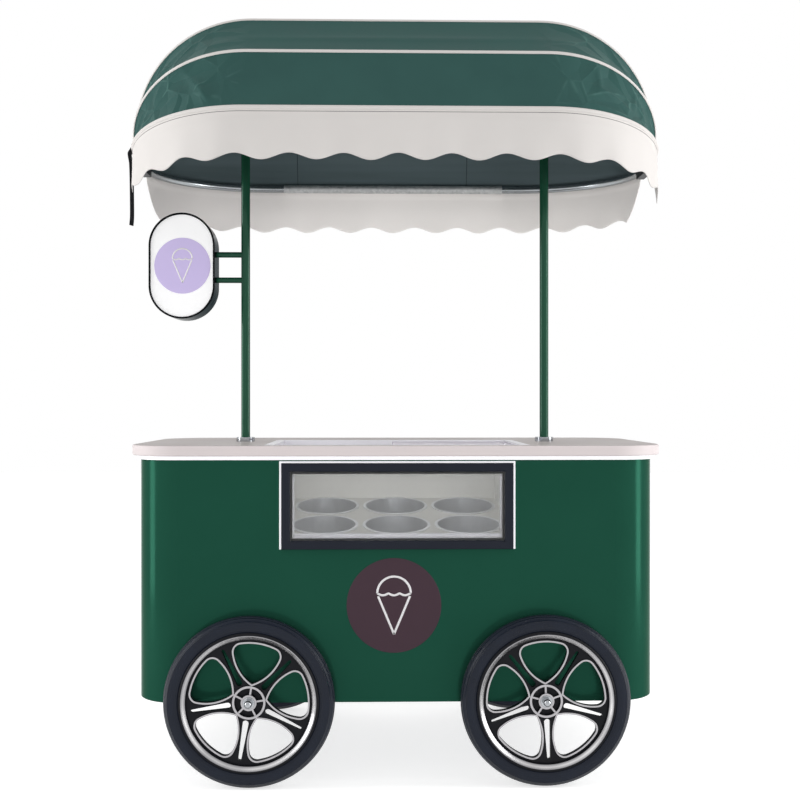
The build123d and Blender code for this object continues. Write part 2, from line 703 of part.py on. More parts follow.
def cloth_band(angle):
    """Cross-section of the cloth over one hoop: a thin band just outside the tube."""
    inner = hoop_line(CLOTH_GAP, CLOTH_START)
    outer = hoop_line(CLOTH_GAP + CLOTH_T, CLOTH_START)
    ends = Line(inner @ 0, outer @ 0) + Line(inner @ 1, outer @ 1)
    return hoop_plane(angle) * make_face(inner + outer + ends)


def canopy_cover():
    """The cover: cloth stretched straight from hoop to hoop, open below and at the hubs."""
    angles = sorted((FRONT_ANGLE, *RIB_ANGLES, RIDGE_ANGLE, REAR_ANGLE))
    return loft([cloth_band(angle) for angle in angles], ruled=True)


def scallop(angle, drop, index):
    """Cutter for one scallop: the space under one wave of the hem, at its place on the hoop."""
    a = radians(angle)
    middle = CLOTH_GAP + CLOTH_T / 2
    bar = HUB_X - HOOP_BEND
    bend = HOOP_BEND + middle
    run = index * SCALLOP_PITCH
    turn = max(abs(run) - bar, 0) / bend * (1 if run > 0 else -1)
    x = max(-bar, min(bar, run)) + bend * sin(turn)
    out = HOOP_R - HOOP_BEND + bend * cos(turn)
    along = Vector(cos(turn), sin(turn) * cos(a), -sin(turn) * sin(a))
    away = Vector(along.Y, -along.X, 0)
    foot = hoop_plane(angle).from_local_coords((x, out, 0)) - Vector(0, 0, drop)
    half, rise = SCALLOP_PITCH / 2, SCALLOP_RISE
    crest = ThreePointArc((-half / 2, 0), (0, rise), (half / 2, 0))
    right = TangentArc((half, -rise), (half / 2, 0), tangent=(-1, 0))
    left = TangentArc((-half, -rise), (-half / 2, 0), tangent=(1, 0))
    under = Polyline((-half, -rise), (-half, -60), (half, -60), (half, -rise))
    outline = make_face(crest + right + left + under)
    return extrude(Plane(origin=foot, x_dir=along, z_dir=away) * outline, 30, both=True)


def valance(angle, drop, steps):
    """Scalloped cloth hanging straight down from the edge of the cover."""
    strip = extrude(cloth_band(angle), drop + 2 * SCALLOP_RISE, dir=(0, 0, -1))
    return strip - [scallop(angle, drop, index) for index in steps]


def front_valance():
    """The front valance: a high wave in the middle, and the left end cut short where the strap hangs."""
    steps = range(-SCALLOPS_EACH_SIDE, SCALLOPS_EACH_SIDE + 1)
    past = 100
    heights = (HUB_Z - 2 * FRONT_DROP, HUB_Z + past)
    end = block((-HUB_X - past, -HUB_X + past), (-FRONT_LEFT_END, past), heights)
    return valance(FRONT_ANGLE, FRONT_DROP, steps) - end


def rear_valance():
    """The rear valance: a low wave in the middle, and both ends cut on a slant to leave the canopy open."""
    steps = [index + 0.5 for index in range(-SCALLOPS_EACH_SIDE, SCALLOPS_EACH_SIDE)]
    lean = (REAR_END_HEM - REAR_END_TOP) / REAR_DROP
    above, below, past = 50, 200, -100
    slant = [(REAR_END_TOP - lean * above, above), (REAR_END_TOP + lean * below, -below)]
    outline = make_face(Polyline((past, above), *slant, (past, -below), close=True))
    cut = extrude(Plane.YZ.offset(-HUB_X - 50) * Pos(0, HUB_Z) * outline, 2 * HUB_X + 100)
    return valance(REAR_ANGLE, REAR_DROP, steps) - cut


def tie_strap():
    """Webbing strap sewn to the cover's lower edge beside the front valance, hanging free below."""
    bend = HOOP_BEND + CLOTH_GAP + CLOTH_T
    turn = acos((STRAP_REACH - HOOP_R + HOOP_BEND) / bend)
    clear = 0.3 + STRAP_T / 2
    x = HOOP_BEND - HUB_X - bend * sin(turn) - clear
    y = -STRAP_REACH * cos(radians(FRONT_ANGLE))
    edge = HUB_Z + STRAP_REACH * sin(radians(FRONT_ANGLE))
    line = [(0, 14), (0, 0), (-7, -14), (-1, -42), (1, -230)]
    path = FilletPolyline(*[(x + out, y, edge + rise) for out, rise in line], radius=(12, 20, 40))
    foot = Plane(origin=path @ 0, x_dir=(-cos(turn), sin(turn), 0), z_dir=path % 0)
    return sweep(foot * Rectangle(STRAP_W, STRAP_T), path=path)


def cart():
    """Every node of the cart by name."""
    places = list(WHEEL_TURN)
    nodes = {
        "chassis_frame": chassis_frame(),
        "left_axle": axle(-WHEEL_X),
        "right_axle": axle(WHEEL_X),
        "axle_blocks": axle_blocks(),
        "axle_nuts": Compound([wheel_plane(place) * axle_nut() for place in places]),
        "wheel_bearings": Compound([wheel_plane(place) * ring for place in places
                                    for ring in wheel_bearing_pair()]),
        "floor_panel": floor_panel(),
        "body_shell": body_shell(),
        "partitions": partitions(),
        "counter_top": counter_top(),
        "light_strips": light_strips(),
        "window_frame": window_frame(),
        "window_panes": window_panes(),
        "window_spacer": window_spacer(),
        "freezer_cabinet": freezer_cabinet(),
        "freezer_liner": freezer_liner(),
        "tub_plate": tub_plate(),
        "lid_track": lid_track(),
        "left_lid": lid(-1),
        "right_lid": lid(1),
        "compressor": compressor(),
        "condenser": condenser(),
        "fan_shroud": fan_shroud(),
        "fan_blade": fan_blade(),
        "refrigerant_pipes": refrigerant_pipes(),
        "side_vent": side_vent(),
        "left_door": door(-1),
        "right_door": door(1),
        "left_door_handle": door_handle(-1),
        "right_door_handle": door_handle(1),
        "door_hinges": door_hinges(),
        "power_inlet": power_inlet(),
        "left_post": post(-POST_X),
        "right_post": post(POST_X),
        "post_collars": post_collars(),
        "sign_band": sign_band(),
        "sign_faces": sign_faces(),
        "canopy_hubs": Compound([canopy_hub(side) for side in (-1, 1)]),
        "ridge_hoop": hoop(RIDGE_ANGLE),
        "front_hoop": hoop(FRONT_ANGLE),
        "rear_hoop": hoop(REAR_ANGLE),
        "rib_hoops": Compound([hoop(angle) for angle in RIB_ANGLES]),
        "canopy_cover": canopy_cover(),
        "front_valance": front_valance(),
        "rear_valance": rear_valance(),
        "tie_strap": tie_strap(),
    }
    casting, rubber = wheel_casting(), tyre()
    for place in places:
        nodes[f"{place}_wheel"] = wheel_plane(place) * casting
        nodes[f"{place}_tyre"] = wheel_plane(place) * rubber
    for number, (x, y) in enumerate(tub_places(), 1):
        nodes[f"tub_{number}"] = tub(x, y)
    return nodes


if __name__ == "__main__":
    os.makedirs("parts", exist_ok=True)
    for name, shape in cart().items():
        export_step(shape, f"parts/{name}.step")
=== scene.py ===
"""Looks of the ice cream cart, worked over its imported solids.

Metres, in the frame of the solids: +X to the customer's right, -Y towards the customer, +Z up.
"""
import math

import bmesh
import bpy
import numpy as np
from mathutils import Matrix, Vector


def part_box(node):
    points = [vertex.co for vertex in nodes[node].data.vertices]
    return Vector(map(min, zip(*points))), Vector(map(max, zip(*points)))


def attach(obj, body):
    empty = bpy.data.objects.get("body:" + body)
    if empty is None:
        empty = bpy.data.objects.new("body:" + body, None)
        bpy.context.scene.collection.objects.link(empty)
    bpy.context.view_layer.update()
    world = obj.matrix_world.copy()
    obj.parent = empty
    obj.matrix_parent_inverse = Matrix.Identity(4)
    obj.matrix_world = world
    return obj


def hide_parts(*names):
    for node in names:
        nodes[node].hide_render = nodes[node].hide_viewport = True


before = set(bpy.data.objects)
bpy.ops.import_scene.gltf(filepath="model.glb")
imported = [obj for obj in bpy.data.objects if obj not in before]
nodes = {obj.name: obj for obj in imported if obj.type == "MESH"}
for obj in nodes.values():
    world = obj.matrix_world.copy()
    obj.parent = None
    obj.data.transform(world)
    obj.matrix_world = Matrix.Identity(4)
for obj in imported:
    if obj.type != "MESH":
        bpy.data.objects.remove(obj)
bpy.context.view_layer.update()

# Hoops of the canopy: a bar, a quarter bend and a leg to each hub, standing at angles up from the front
HUB_X = 0.790
HUB_Z = 1.820
HOOP_R = 0.430
HOOP_BEND = 0.362
HOOP_BAR = HUB_X - HOOP_BEND
HOOP_ANGLES = np.radians([10, 35, 63, 90, 119, 149, 178.5])
SLEEVE_HALF = 0.385

# Cover over the hoops, with a tape on each hoop
CLOTH_OUT = 0.0166
CLOTH_T = 0.0016
CLOTH_START = 0.024
HALF_RUN = HOOP_BAR + (HOOP_BEND + CLOTH_OUT) * math.pi / 2 + HOOP_R - HOOP_BEND - CLOTH_START
PANEL_STEPS = 20
PANEL_WIDTH = 0.18
BAR_SAG = 0.004
BEND_SAG = 0.008
SAG_GROWS_OVER = 0.25
SAG_FADES_BELOW = 0.2
TAPE_HALF = 0.006
TAPE_RISE = 0.0028
TAPE_OUT = 0.0004
TAPE_EDGE_FALL = 0.2

# Creases in the cover: run from the middle, place across in panels, turn in degrees, half length, half
# width, depth
CREASES = [(-0.575, 0.49, -54, 0.085, 0.020, 0.0140), (-0.548, 0.32, -66, 0.045, 0.014, 0.0090),
           (-0.730, 0.70, 60, 0.045, 0.014, 0.0090), (-0.800, 0.35, 75, 0.040, 0.013, 0.0080),
           (-0.660, 0.40, 20, 0.050, 0.016, 0.0080), (-0.880, 0.45, 50, 0.050, 0.014, 0.0080),
           (0.583, 0.67, 90, 0.040, 0.014, 0.0100), (0.613, 0.43, -15, 0.050, 0.015, 0.0110),
           (0.670, 0.33, -10, 0.045, 0.014, 0.0090), (0.775, 0.50, -70, 0.045, 0.014, 0.0100),
           (0.730, 0.55, 80, 0.050, 0.014, 0.0090), (0.870, 0.45, -50, 0.050, 0.014, 0.0080),
           (0.000, 1.42, 0, 0.550, 0.016, 0.0045), (-0.720, 1.55, 26, 0.080, 0.016, 0.0080),
           (0.780, 1.48, -26, 0.080, 0.016, 0.0080), (0.700, 4.50, 26, 0.090, 0.016, 0.0080),
           (-0.780, 4.45, -26, 0.090, 0.016, 0.0080), (0.840, 5.60, 35, 0.070, 0.015, 0.0080),
           (-0.820, 5.50, -31, 0.070, 0.015, 0.0080), (-0.150, 5.35, 4, 0.300, 0.016, 0.0050)]

# Valances
FRONT_DROP = 0.136
FRONT_LEFT_END = 0.145
FRONT_RIGHT_SCALLOPS = 6.5
REAR_DROP = 0.142
REAR_END_TOP = 0.085
REAR_END_HEM = 0.21
SCALLOP_PITCH = 0.152
SCALLOP_RISE = 0.0095
VALANCE_IN = 0.0002
SLOW_WAVE = 0.0035
SLOW_PITCH = 0.31
QUICK_WAVE = 0.0022
QUICK_PITCH = 0.127
SEAM_DIP = 0.0022
SEAM_DOWN = 0.02
SEAM_HALF = 0.008

# Strap: its line is given as the way out from the cloth and the way up, from the seam to the free end
STRAP_REACH = 0.137
STRAP_OFF = 0.0012
STRAP_HALF = 0.0125
STRAP_HALF_T = 0.0009
STRAP_TWIST = 0.48
STRAP_KNOTS = np.array([(0, 0.014), (0, 0.005), (-0.0025, -0.004), (-0.0065, -0.013), (-0.0045, -0.027),
                        (-0.0012, -0.042), (0.0002, -0.09), (0.001, -0.15), (0.0015, -0.205),
                        (-0.001, -0.23)])

# Sign and roundels
SIGN_LIP = 0.0468
SIGN_ROUNDEL = (-0.663, 0.0472, 1.503)
SIGN_ROUNDEL_R = 0.087
FRONT_ROUNDEL = (-0.010, -0.3604, 0.499)
FRONT_ROUNDEL_R = 0.135
VINYL_T = 0.0004
MOTIF_SHARE = 0.84
MOTIF_RAISE = 0.2
LINE_SHARE = 0.055
LINE_T = 0.0003
LINE_OUT = 0.0008

# Counter and body
COUNTER_TOP = 0.955
COUNTER_SKIN = 0.0008
BODY_REAR = 0.360

# Trim round the window's way through the freezer wall
TRIM_FRONT = -0.326
TRIM_REAR = -0.319
TRIM_EDGE = 0.002
TRIM_BELOW = 0.0178
TRIM_SIDE = 0.0115
TRIM_ABOVE = 0.004
TRIM_GAP = 0.0003

# Screws, from the edges of what they hold
VENT_EDGE = 0.011
VENT_SCREW_R = 0.0045
HINGE_EDGE = 0.010
HINGE_LEAF_T = 0.002
HINGE_FEET = (0, 0.256)
HINGE_RISES = (0.006, 0.018)
HINGE_SCREW_R = 0.0035
INLET_EDGE = 0.006
INLET_SCREW_R = 0.0030

# Wheels
WHEEL_X = 0.416
WHEEL_Y = 0.410
WHEEL_R = 0.240
RIM_MIDDLE = 0.1826
RIM_HALF = 0.0062
SPIDER_R = 0.172
LIP_OUT = 0.0112
RIB_R = 0.945 * WHEEL_R
TREAD_START = 0.97 * WHEEL_R
TREAD_FULL = 0.985 * WHEEL_R

# Camera, from the photograph's vanishing lines
LENS_MM = 51.48
SENSOR_MM = 36
CAMERA = (-0.0646, -3.6195, 1.074)
CAMERA_YAW = -1.26
CAMERA_SHIFT = 0.0045

# Sizes of the slow change of tone in a coat and in cloth
COAT_DRIFT = 0.22
CLOTH_DRIFT = 0.16

# Studio
FLOOR_HALF = 14.0
FLOOR_LIFT = 0.6
SKY_LEVEL = 0.6


# Mesh helpers


def sheet_mesh(name, points, uv=None, loop=False, weld=False, flip=False):
    """A mesh object from a grid of points (rows, columns, 3), with a quad between each four neighbours.

    A fourth, leading axis holds several such grids. loop joins the last column to the first, weld closes
    poles and turns the faces outwards.
    """
    rows, cols = points.shape[-3:-1]
    i, j = np.meshgrid(np.arange(rows - 1), np.arange(cols if loop else cols - 1), indexing="ij")
    k = (j + 1) % cols
    quads = np.stack([i * cols + j, (i + 1) * cols + j, (i + 1) * cols + k, i * cols + k], -1).reshape(-1, 4)
    firsts = np.arange(0, points.size // 3, rows * cols)
    quads = (firsts[:, None, None] + quads).reshape(-1, 4)
    if flip:
        quads = quads[:, ::-1]
    mesh = bpy.data.meshes.new(name)
    mesh.from_pydata(points.reshape(-1, 3).tolist(), [], quads.tolist())
    if uv is not None:
        layer = mesh.uv_layers.new(name="weave")
        layer.data.foreach_set("uv", uv.reshape(-1, 2)[quads.ravel()].ravel())
    if weld:
        work = bmesh.new()
        work.from_mesh(mesh)
        bmesh.ops.remove_doubles(work, verts=work.verts, dist=1e-6)
        bmesh.ops.recalc_face_normals(work, faces=work.faces)
        work.to_mesh(mesh)
        work.free()
    mesh.shade_smooth()
    piece = bpy.data.objects.new(name, mesh)
    bpy.context.scene.collection.objects.link(piece)
    return piece


def carry(name, path, side, up, profile):
    """A closed profile carried along a path: path + a * side + b * up, with both ends drawn in to a point.

    Its weave map holds the way along the path and the way round the profile.
    """
    ring = path[:, None] + profile[None, :, :1] * side[:, None] + profile[None, :, 1:] * up[:, None]
    first, last = (np.repeat(ring[k].mean(0)[None, None], len(profile), 1) for k in (0, -1))
    points = np.concatenate([first, ring, last])
    along, around = (np.concatenate([[0], np.cumsum(np.linalg.norm(np.diff(line, axis=0), axis=1))])
                     for line in (points[:, 0], profile))
    uv = np.stack(np.meshgrid(along, around, indexing="ij"), -1)
    return sheet_mesh(name, points, uv, loop=True, weld=True)


def dress(piece, body, slot, material, *replaced):
    """Puts a piece on its body, with its finish and the solids that it stands for."""
    piece.data.materials.append(material)
    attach(piece, body)
    if replaced:
        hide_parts(*replaced)
    return piece


def thicken(piece, thickness):
    """Gives a sheet its thickness, inwards from the surface that shows."""
    wall = piece.modifiers.new("thickness", "SOLIDIFY")
    wall.thickness = thickness
    wall.offset = -1
    return piece


# Finishes


def linear(code):
    """An sRGB hex colour as linear RGBA."""
    srgb = np.array([int(code[i:i + 2], 16) for i in (1, 3, 5)]) / 255
    rgb = np.where(srgb <= 0.04045, srgb / 12.92, ((srgb + 0.055) / 1.055) ** 2.4)
    return (*rgb.tolist(), 1.0)


def add(tree, kind, inputs=None, **settings):
    """Adds one node with its settings; inputs gives each socket a value or the output that feeds it."""
    made = tree.nodes.new(kind)
    for name, value in settings.items():
        setattr(made, name, value)
    for key, value in (inputs or {}).items():
        if isinstance(value, bpy.types.NodeSocket):
            tree.links.new(value, made.inputs[key])
        else:
            made.inputs[key].default_value = value
    return made


def start(name, colour, **even):
    """A new finish: its node tree and shader, with what is the same all over set on the shader's sockets."""
    made = bpy.data.materials.new(name)
    made.use_nodes = True
    shader = made.node_tree.nodes["Principled BSDF"]
    shader.inputs["Base Color"].default_value = linear(colour)
    for socket, value in even.items():
        shader.inputs[socket.replace("_", " ")].default_value = value
    return made, made.node_tree, shader


def vary(tree, shader, where, colours, rough, size, stretch=(1, 1, 1), detail=3.0):
    """Colour and roughness drift between two values by a noise of one feature size, stretched by axis.

    Most of a noise lies between 0.3 and 0.7, so the roughness runs over that range.
    """
    turned = add(tree, "ShaderNodeMapping", {"Vector": where, "Scale": stretch})
    noise = add(tree, "ShaderNodeTexNoise",
                {"Vector": turned.outputs[0], "Scale": 1 / size, "Detail": detail})
    tint = add(tree, "ShaderNodeMix", {0: noise.outputs[0], 6: linear(colours[0]), 7: linear(colours[1])},
               data_type="RGBA")
    tree.links.new(tint.outputs[2], shader.inputs["Base Color"])
    gloss = add(tree, "ShaderNodeMapRange", {0: noise.outputs[0], 1: 0.3, 2: 0.7, 3: rough[0], 4: rough[1]})
    tree.links.new(gloss.outputs[0], shader.inputs["Roughness"])
    return noise


def lay_over(tree, shader, share, colour):
    """Lays another colour over a finish, by a share from 0 to 1."""
    under = shader.inputs["Base Color"].links[0].from_socket
    tint = add(tree, "ShaderNodeMix", {0: share, 6: under, 7: colour}, data_type="RGBA")
    tree.links.new(tint.outputs[2], shader.inputs["Base Color"])


def emboss(tree, shader, height, depth):
    """Bump from a height of 0 to 1 and its depth in metres."""
    bump = add(tree, "ShaderNodeBump", {"Height": height, "Distance": depth, "Strength": 1.0})
    tree.links.new(bump.outputs[0], shader.inputs["Normal"])


def paint(name, colours, rough, peel, depth, **even):
    """Sprayed, baked or moulded skin: even colour with a slow drift, and fine dimples.

    The dimples of a real spray coat are 1 to 3 mm apart. On large panels they are drawn wider, to show.
    """
    made, tree, shader = start(name, colours[0], **even)
    where = add(tree, "ShaderNodeTexCoord").outputs["Object"]
    vary(tree, shader, where, colours, rough, COAT_DRIFT)
    dimple = add(tree, "ShaderNodeTexNoise", {"Vector": where, "Scale": 1 / peel, "Detail": 1.0})
    emboss(tree, shader, dimple.outputs[0], depth)
    return made


def slab_with_shaded_top(name, edge, top):
    """Acrylic solid surface: rosy white, with painted shade that makes its top a little greyer than its edge,
    and a fine pale grain.

    Real grains are under 1 mm, too fine to show, so they are drawn 6 mm wide.
    """
    made, tree, shader = start(name, edge[0], Specular_IOR_Level=0.12)
    where = add(tree, "ShaderNodeTexCoord").outputs["Object"]
    vary(tree, shader, where, edge, (0.4, 0.5), COAT_DRIFT)
    grain = add(tree, "ShaderNodeTexNoise", {"Vector": where, "Scale": 1 / 0.006, "Detail": 2.0})
    shaded_top = add(tree, "ShaderNodeMix", {0: grain.outputs[0], 6: linear(top[0]), 7: linear(top[1])},
                 data_type="RGBA")
    # Painted shade: faces at the top of the slab take the greyer top tones
    height = add(tree, "ShaderNodeSeparateXYZ", {0: where}).outputs[2]
    upper = add(tree, "ShaderNodeMath", {0: height, 1: COUNTER_TOP - COUNTER_SKIN}, operation="GREATER_THAN")
    lay_over(tree, shader, upper.outputs[0], shaded_top.outputs[2])
    emboss(tree, shader, grain.outputs[0], 0.00002)
    return made


def metal(name, colours, rough, size, stretch=(1, 1, 1), depth=0.0):
    """Bare metal: drawn or brushed streaks of one width, longer along the axis with the smaller stretch.

    Real streaks are a few hundredths of a millimetre wide, so they are drawn coarser, to show.
    """
    made, tree, shader = start(name, colours[0], Metallic=1.0)
    where = add(tree, "ShaderNodeTexCoord").outputs["Object"]
    streak = vary(tree, shader, where, colours, rough, size, stretch, 4.0)
    if depth:
        emboss(tree, shader, streak.outputs[0], depth)
    return made


def band_steel(name, dark, bright, lip):
    """Polished steel band with painted reflections: light and dark blotches in its colour stand in for a room
    mirrored in bent sheet, and its lip on both sides is painted dark as a mirrored dark room.
    """
    made, tree, shader = start(name, bright, Metallic=1.0, Specular_Tint=linear("#5E6466"))
    where = add(tree, "ShaderNodeTexCoord").outputs["Object"]
    blotch = vary(tree, shader, where, (dark, bright), (0.08, 0.2), 0.02, (1, 1, 0.35), 4.0)
    emboss(tree, shader, blotch.outputs[0], 0.0003)
    # Painted reflection: faces out beyond the lip's depth take a dark colour
    depth = add(tree, "ShaderNodeSeparateXYZ", {0: where}).outputs[1]
    out = add(tree, "ShaderNodeMath", {0: depth}, operation="ABSOLUTE")
    edge = add(tree, "ShaderNodeMath", {0: out.outputs[0], 1: SIGN_LIP}, operation="GREATER_THAN")
    lay_over(tree, shader, edge.outputs[0], linear(lip))
    return made


def galvanised(name, colours, rough, spangle):
    """Hot-dip zinc: flat grey crystals about a centimetre wide, each with its own tone and gloss."""
    made, tree, shader = start(name, colours[0], Metallic=1.0)
    where = add(tree, "ShaderNodeTexCoord").outputs["Object"]
    cells = add(tree, "ShaderNodeTexVoronoi", {"Vector": where, "Scale": 1 / spangle})
    tone = add(tree, "ShaderNodeRGBToBW", {0: cells.outputs["Color"]})
    tint = add(tree, "ShaderNodeMix", {0: tone.outputs[0], 6: linear(colours[0]), 7: linear(colours[1])},
               data_type="RGBA")
    gloss = add(tree, "ShaderNodeMapRange", {0: tone.outputs[0], 3: rough[0], 4: rough[1]})
    tree.links.new(tint.outputs[2], shader.inputs["Base Color"])
    tree.links.new(gloss.outputs[0], shader.inputs["Roughness"])
    return made


def hoop_tube(name, zinc, drawn, spangle):
    """Canopy tube: a dull galvanised sleeve with crystals in the middle, bright drawn tube beyond it."""
    made, tree, shader = start(name, drawn, Metallic=1.0)
    where = add(tree, "ShaderNodeTexCoord").outputs["Object"]
    cells = add(tree, "ShaderNodeTexVoronoi", {"Vector": where, "Scale": 1 / spangle})
    tone = add(tree, "ShaderNodeRGBToBW", {0: cells.outputs["Color"]}).outputs[0]
    along = add(tree, "ShaderNodeSeparateXYZ", {0: where}).outputs[0]
    way = add(tree, "ShaderNodeMath", {0: along}, operation="ABSOLUTE").outputs[0]
    bare = add(tree, "ShaderNodeMath", {0: way, 1: SLEEVE_HALF}, operation="GREATER_THAN").outputs[0]
    sleeve = add(tree, "ShaderNodeMix", {0: tone, 6: linear(zinc[0]), 7: linear(zinc[1])}, data_type="RGBA")
    tree.links.new(sleeve.outputs[2], shader.inputs["Base Color"])
    lay_over(tree, shader, bare, linear(drawn))
    dull = add(tree, "ShaderNodeMapRange", {0: tone, 3: 0.55, 4: 0.75})
    gloss = add(tree, "ShaderNodeMix", {0: bare, 2: dull.outputs[0], 3: 0.25})
    tree.links.new(gloss.outputs[0], shader.inputs["Roughness"])
    return made


def sew(tree, shader, weave, seam):
    """A thin sewn line on cloth, across one axis of its map, at a way from a middle to both sides."""
    axis, middle, way, half, colour = seam
    place = add(tree, "ShaderNodeSeparateXYZ", {0: weave}).outputs[axis]
    off = add(tree, "ShaderNodeMath", {0: place, 1: middle}, operation="SUBTRACT")
    off = add(tree, "ShaderNodeMath", {0: off.outputs[0]}, operation="ABSOLUTE")
    sewn = add(tree, "ShaderNodeMath", {0: off.outputs[0], 1: way, 2: half}, operation="COMPARE")
    lay_over(tree, shader, sewn.outputs[0], linear(colour))


def crumple_ends(tree, shader, weave, height, crumple):
    """Flat facets between sharp folds, growing from one run to another; gives the cloth's new height.

    The folds are paler in patches: painted highlights along their crests.
    """
    near, far, size, deep, colour = crumple
    run = add(tree, "ShaderNodeSeparateXYZ", {0: weave}).outputs[0]
    run = add(tree, "ShaderNodeMath", {0: run}, operation="ABSOLUTE")
    much = add(tree, "ShaderNodeMapRange", {0: run.outputs[0], 1: near, 2: far}).outputs[0]
    facets = add(tree, "ShaderNodeTexVoronoi", {"Vector": weave, "Scale": 1 / size},
                 feature="DISTANCE_TO_EDGE").outputs[0]
    fall = add(tree, "ShaderNodeMath", {0: facets, 1: -deep}, operation="MULTIPLY")
    fold = add(tree, "ShaderNodeMapRange", {0: facets, 1: 0.0, 2: 0.035, 3: 1.0, 4: 0.0})
    # Painted highlight: the folds' crests are made paler in patches
    patch = add(tree, "ShaderNodeTexNoise", {"Vector": weave, "Scale": 2 / size, "Detail": 1.0})
    painted_fold_highlight = add(tree, "ShaderNodeMapRange", {0: patch.outputs[0], 1: 0.48, 2: 0.66})
    painted_fold_highlight = add(tree, "ShaderNodeMath", {0: painted_fold_highlight.outputs[0], 1: fold.outputs[0]}, operation="MULTIPLY")
    painted_fold_highlight = add(tree, "ShaderNodeMath", {0: painted_fold_highlight.outputs[0], 1: much}, operation="MULTIPLY")
    lay_over(tree, shader, painted_fold_highlight.outputs[0], linear(colour))
    return add(tree, "ShaderNodeMath", {0: fall.outputs[0], 1: much, 2: height},
               operation="MULTIPLY_ADD").outputs[0]


def cloth(name, colours, rough, thread, depth, drift=(1, 1, 1), seam=None, crumple=None, **even):
    """Woven cloth on its own weave map in metres: crossed threads, a soft drift of tone and a dry sheen.

    Real threads are 0.6 mm apart, too fine to show, so they are drawn coarser. drift stretches the change of
    tone. A seam is the map's axis, a middle, the way from it to both sides, half the line's width and its
    colour. A crumple is the two runs between which it grows, the facets' size, their depth and the colour of
    the painted highlights on the folds.
    """
    made, tree, shader = start(name, colours[0], **even)
    weave = add(tree, "ShaderNodeTexCoord").outputs["UV"]
    vary(tree, shader, weave, colours, rough, CLOTH_DRIFT, drift)
    period = 2 * math.pi / 20 / thread
    warp, weft = (add(tree, "ShaderNodeTexWave", {"Vector": weave, "Scale": period}, bands_direction=axis)
                  for axis in ("X", "Y"))
    crossed = add(tree, "ShaderNodeMath", {0: warp.outputs["Fac"], 1: weft.outputs["Fac"]},
                  operation="MULTIPLY")
    height = add(tree, "ShaderNodeMath", {0: crossed.outputs[0], 1: depth}, operation="MULTIPLY").outputs[0]
    if seam:
        sew(tree, shader, weave, seam)
    if crumple:
        height = crumple_ends(tree, shader, weave, height, crumple)
    emboss(tree, shader, height, 1.0)
    return made


def clear_glass(name, tint, shade, painted_grazing_reflection=None):
    """Float glass: clear and mirror smooth, and lamp light passes straight through it, a little weakened.

    A grazing reflection given here is painted: a flat lilac grey that takes the place of the glass's own
    mirror image where it is seen at a very low angle.
    """
    made, tree, shader = start(name, tint, Roughness=0.0, IOR=1.5, Transmission_Weight=1.0)
    surface = shader.outputs[0]
    if painted_grazing_reflection:
        # Painted reflection: at low angles a flat lilac grey replaces the mirror image
        low = add(tree, "ShaderNodeLayerWeight", {"Blend": 0.5}).outputs["Facing"]
        share = add(tree, "ShaderNodeMapRange", {0: low, 1: 0.9, 2: 0.97, 3: 0.0, 4: 0.85})
        painted_reflection = add(tree, "ShaderNodeBsdfDiffuse", {"Color": linear(painted_grazing_reflection)})
        surface = add(tree, "ShaderNodeMixShader",
                      {0: share.outputs[0], 1: surface, 2: painted_reflection.outputs[0]}).outputs[0]
    path = add(tree, "ShaderNodeLightPath")
    through = add(tree, "ShaderNodeBsdfTransparent", {"Color": linear(shade)})
    mixed = add(tree, "ShaderNodeMixShader",
                {0: path.outputs["Is Shadow Ray"], 1: surface, 2: through.outputs[0]})
    tree.links.new(mixed.outputs[0], tree.nodes["Material Output"].inputs[0])
    return made


def lit_acrylic(name, colour, glow):
    """Opal acrylic with an even white glow that hardly shows its own surface: lamps give it in the light
    strips, and on the sign faces the glow is painted light.
    """
    made, tree, shader = start(name, colour, Emission_Color=linear(colour), Emission_Strength=glow)
    where = add(tree, "ShaderNodeTexCoord").outputs["Object"]
    vary(tree, shader, where, (colour, "#FFFFFF"), (0.25, 0.35), 0.1)
    return made


def wheel_centred(tree):
    """Coordinates from the middle of the wheel a point is on: radius from its axle, and way out along it."""
    where = add(tree, "ShaderNodeTexCoord").outputs["Object"]
    same = add(tree, "ShaderNodeVectorMath", {0: where}, operation="ABSOLUTE")
    centred = add(tree, "ShaderNodeVectorMath", {0: same.outputs[0], 1: (WHEEL_X, WHEEL_Y, WHEEL_R)},
                  operation="SUBTRACT")
    flat = add(tree, "ShaderNodeVectorMath", {0: centred.outputs[0], 1: (1, 0, 1)}, operation="MULTIPLY")
    radius = add(tree, "ShaderNodeVectorMath", {0: flat.outputs[0]}, operation="LENGTH").outputs["Value"]
    out = add(tree, "ShaderNodeSeparateXYZ", {0: centred.outputs[0]}).outputs[1]
    return where, radius, out


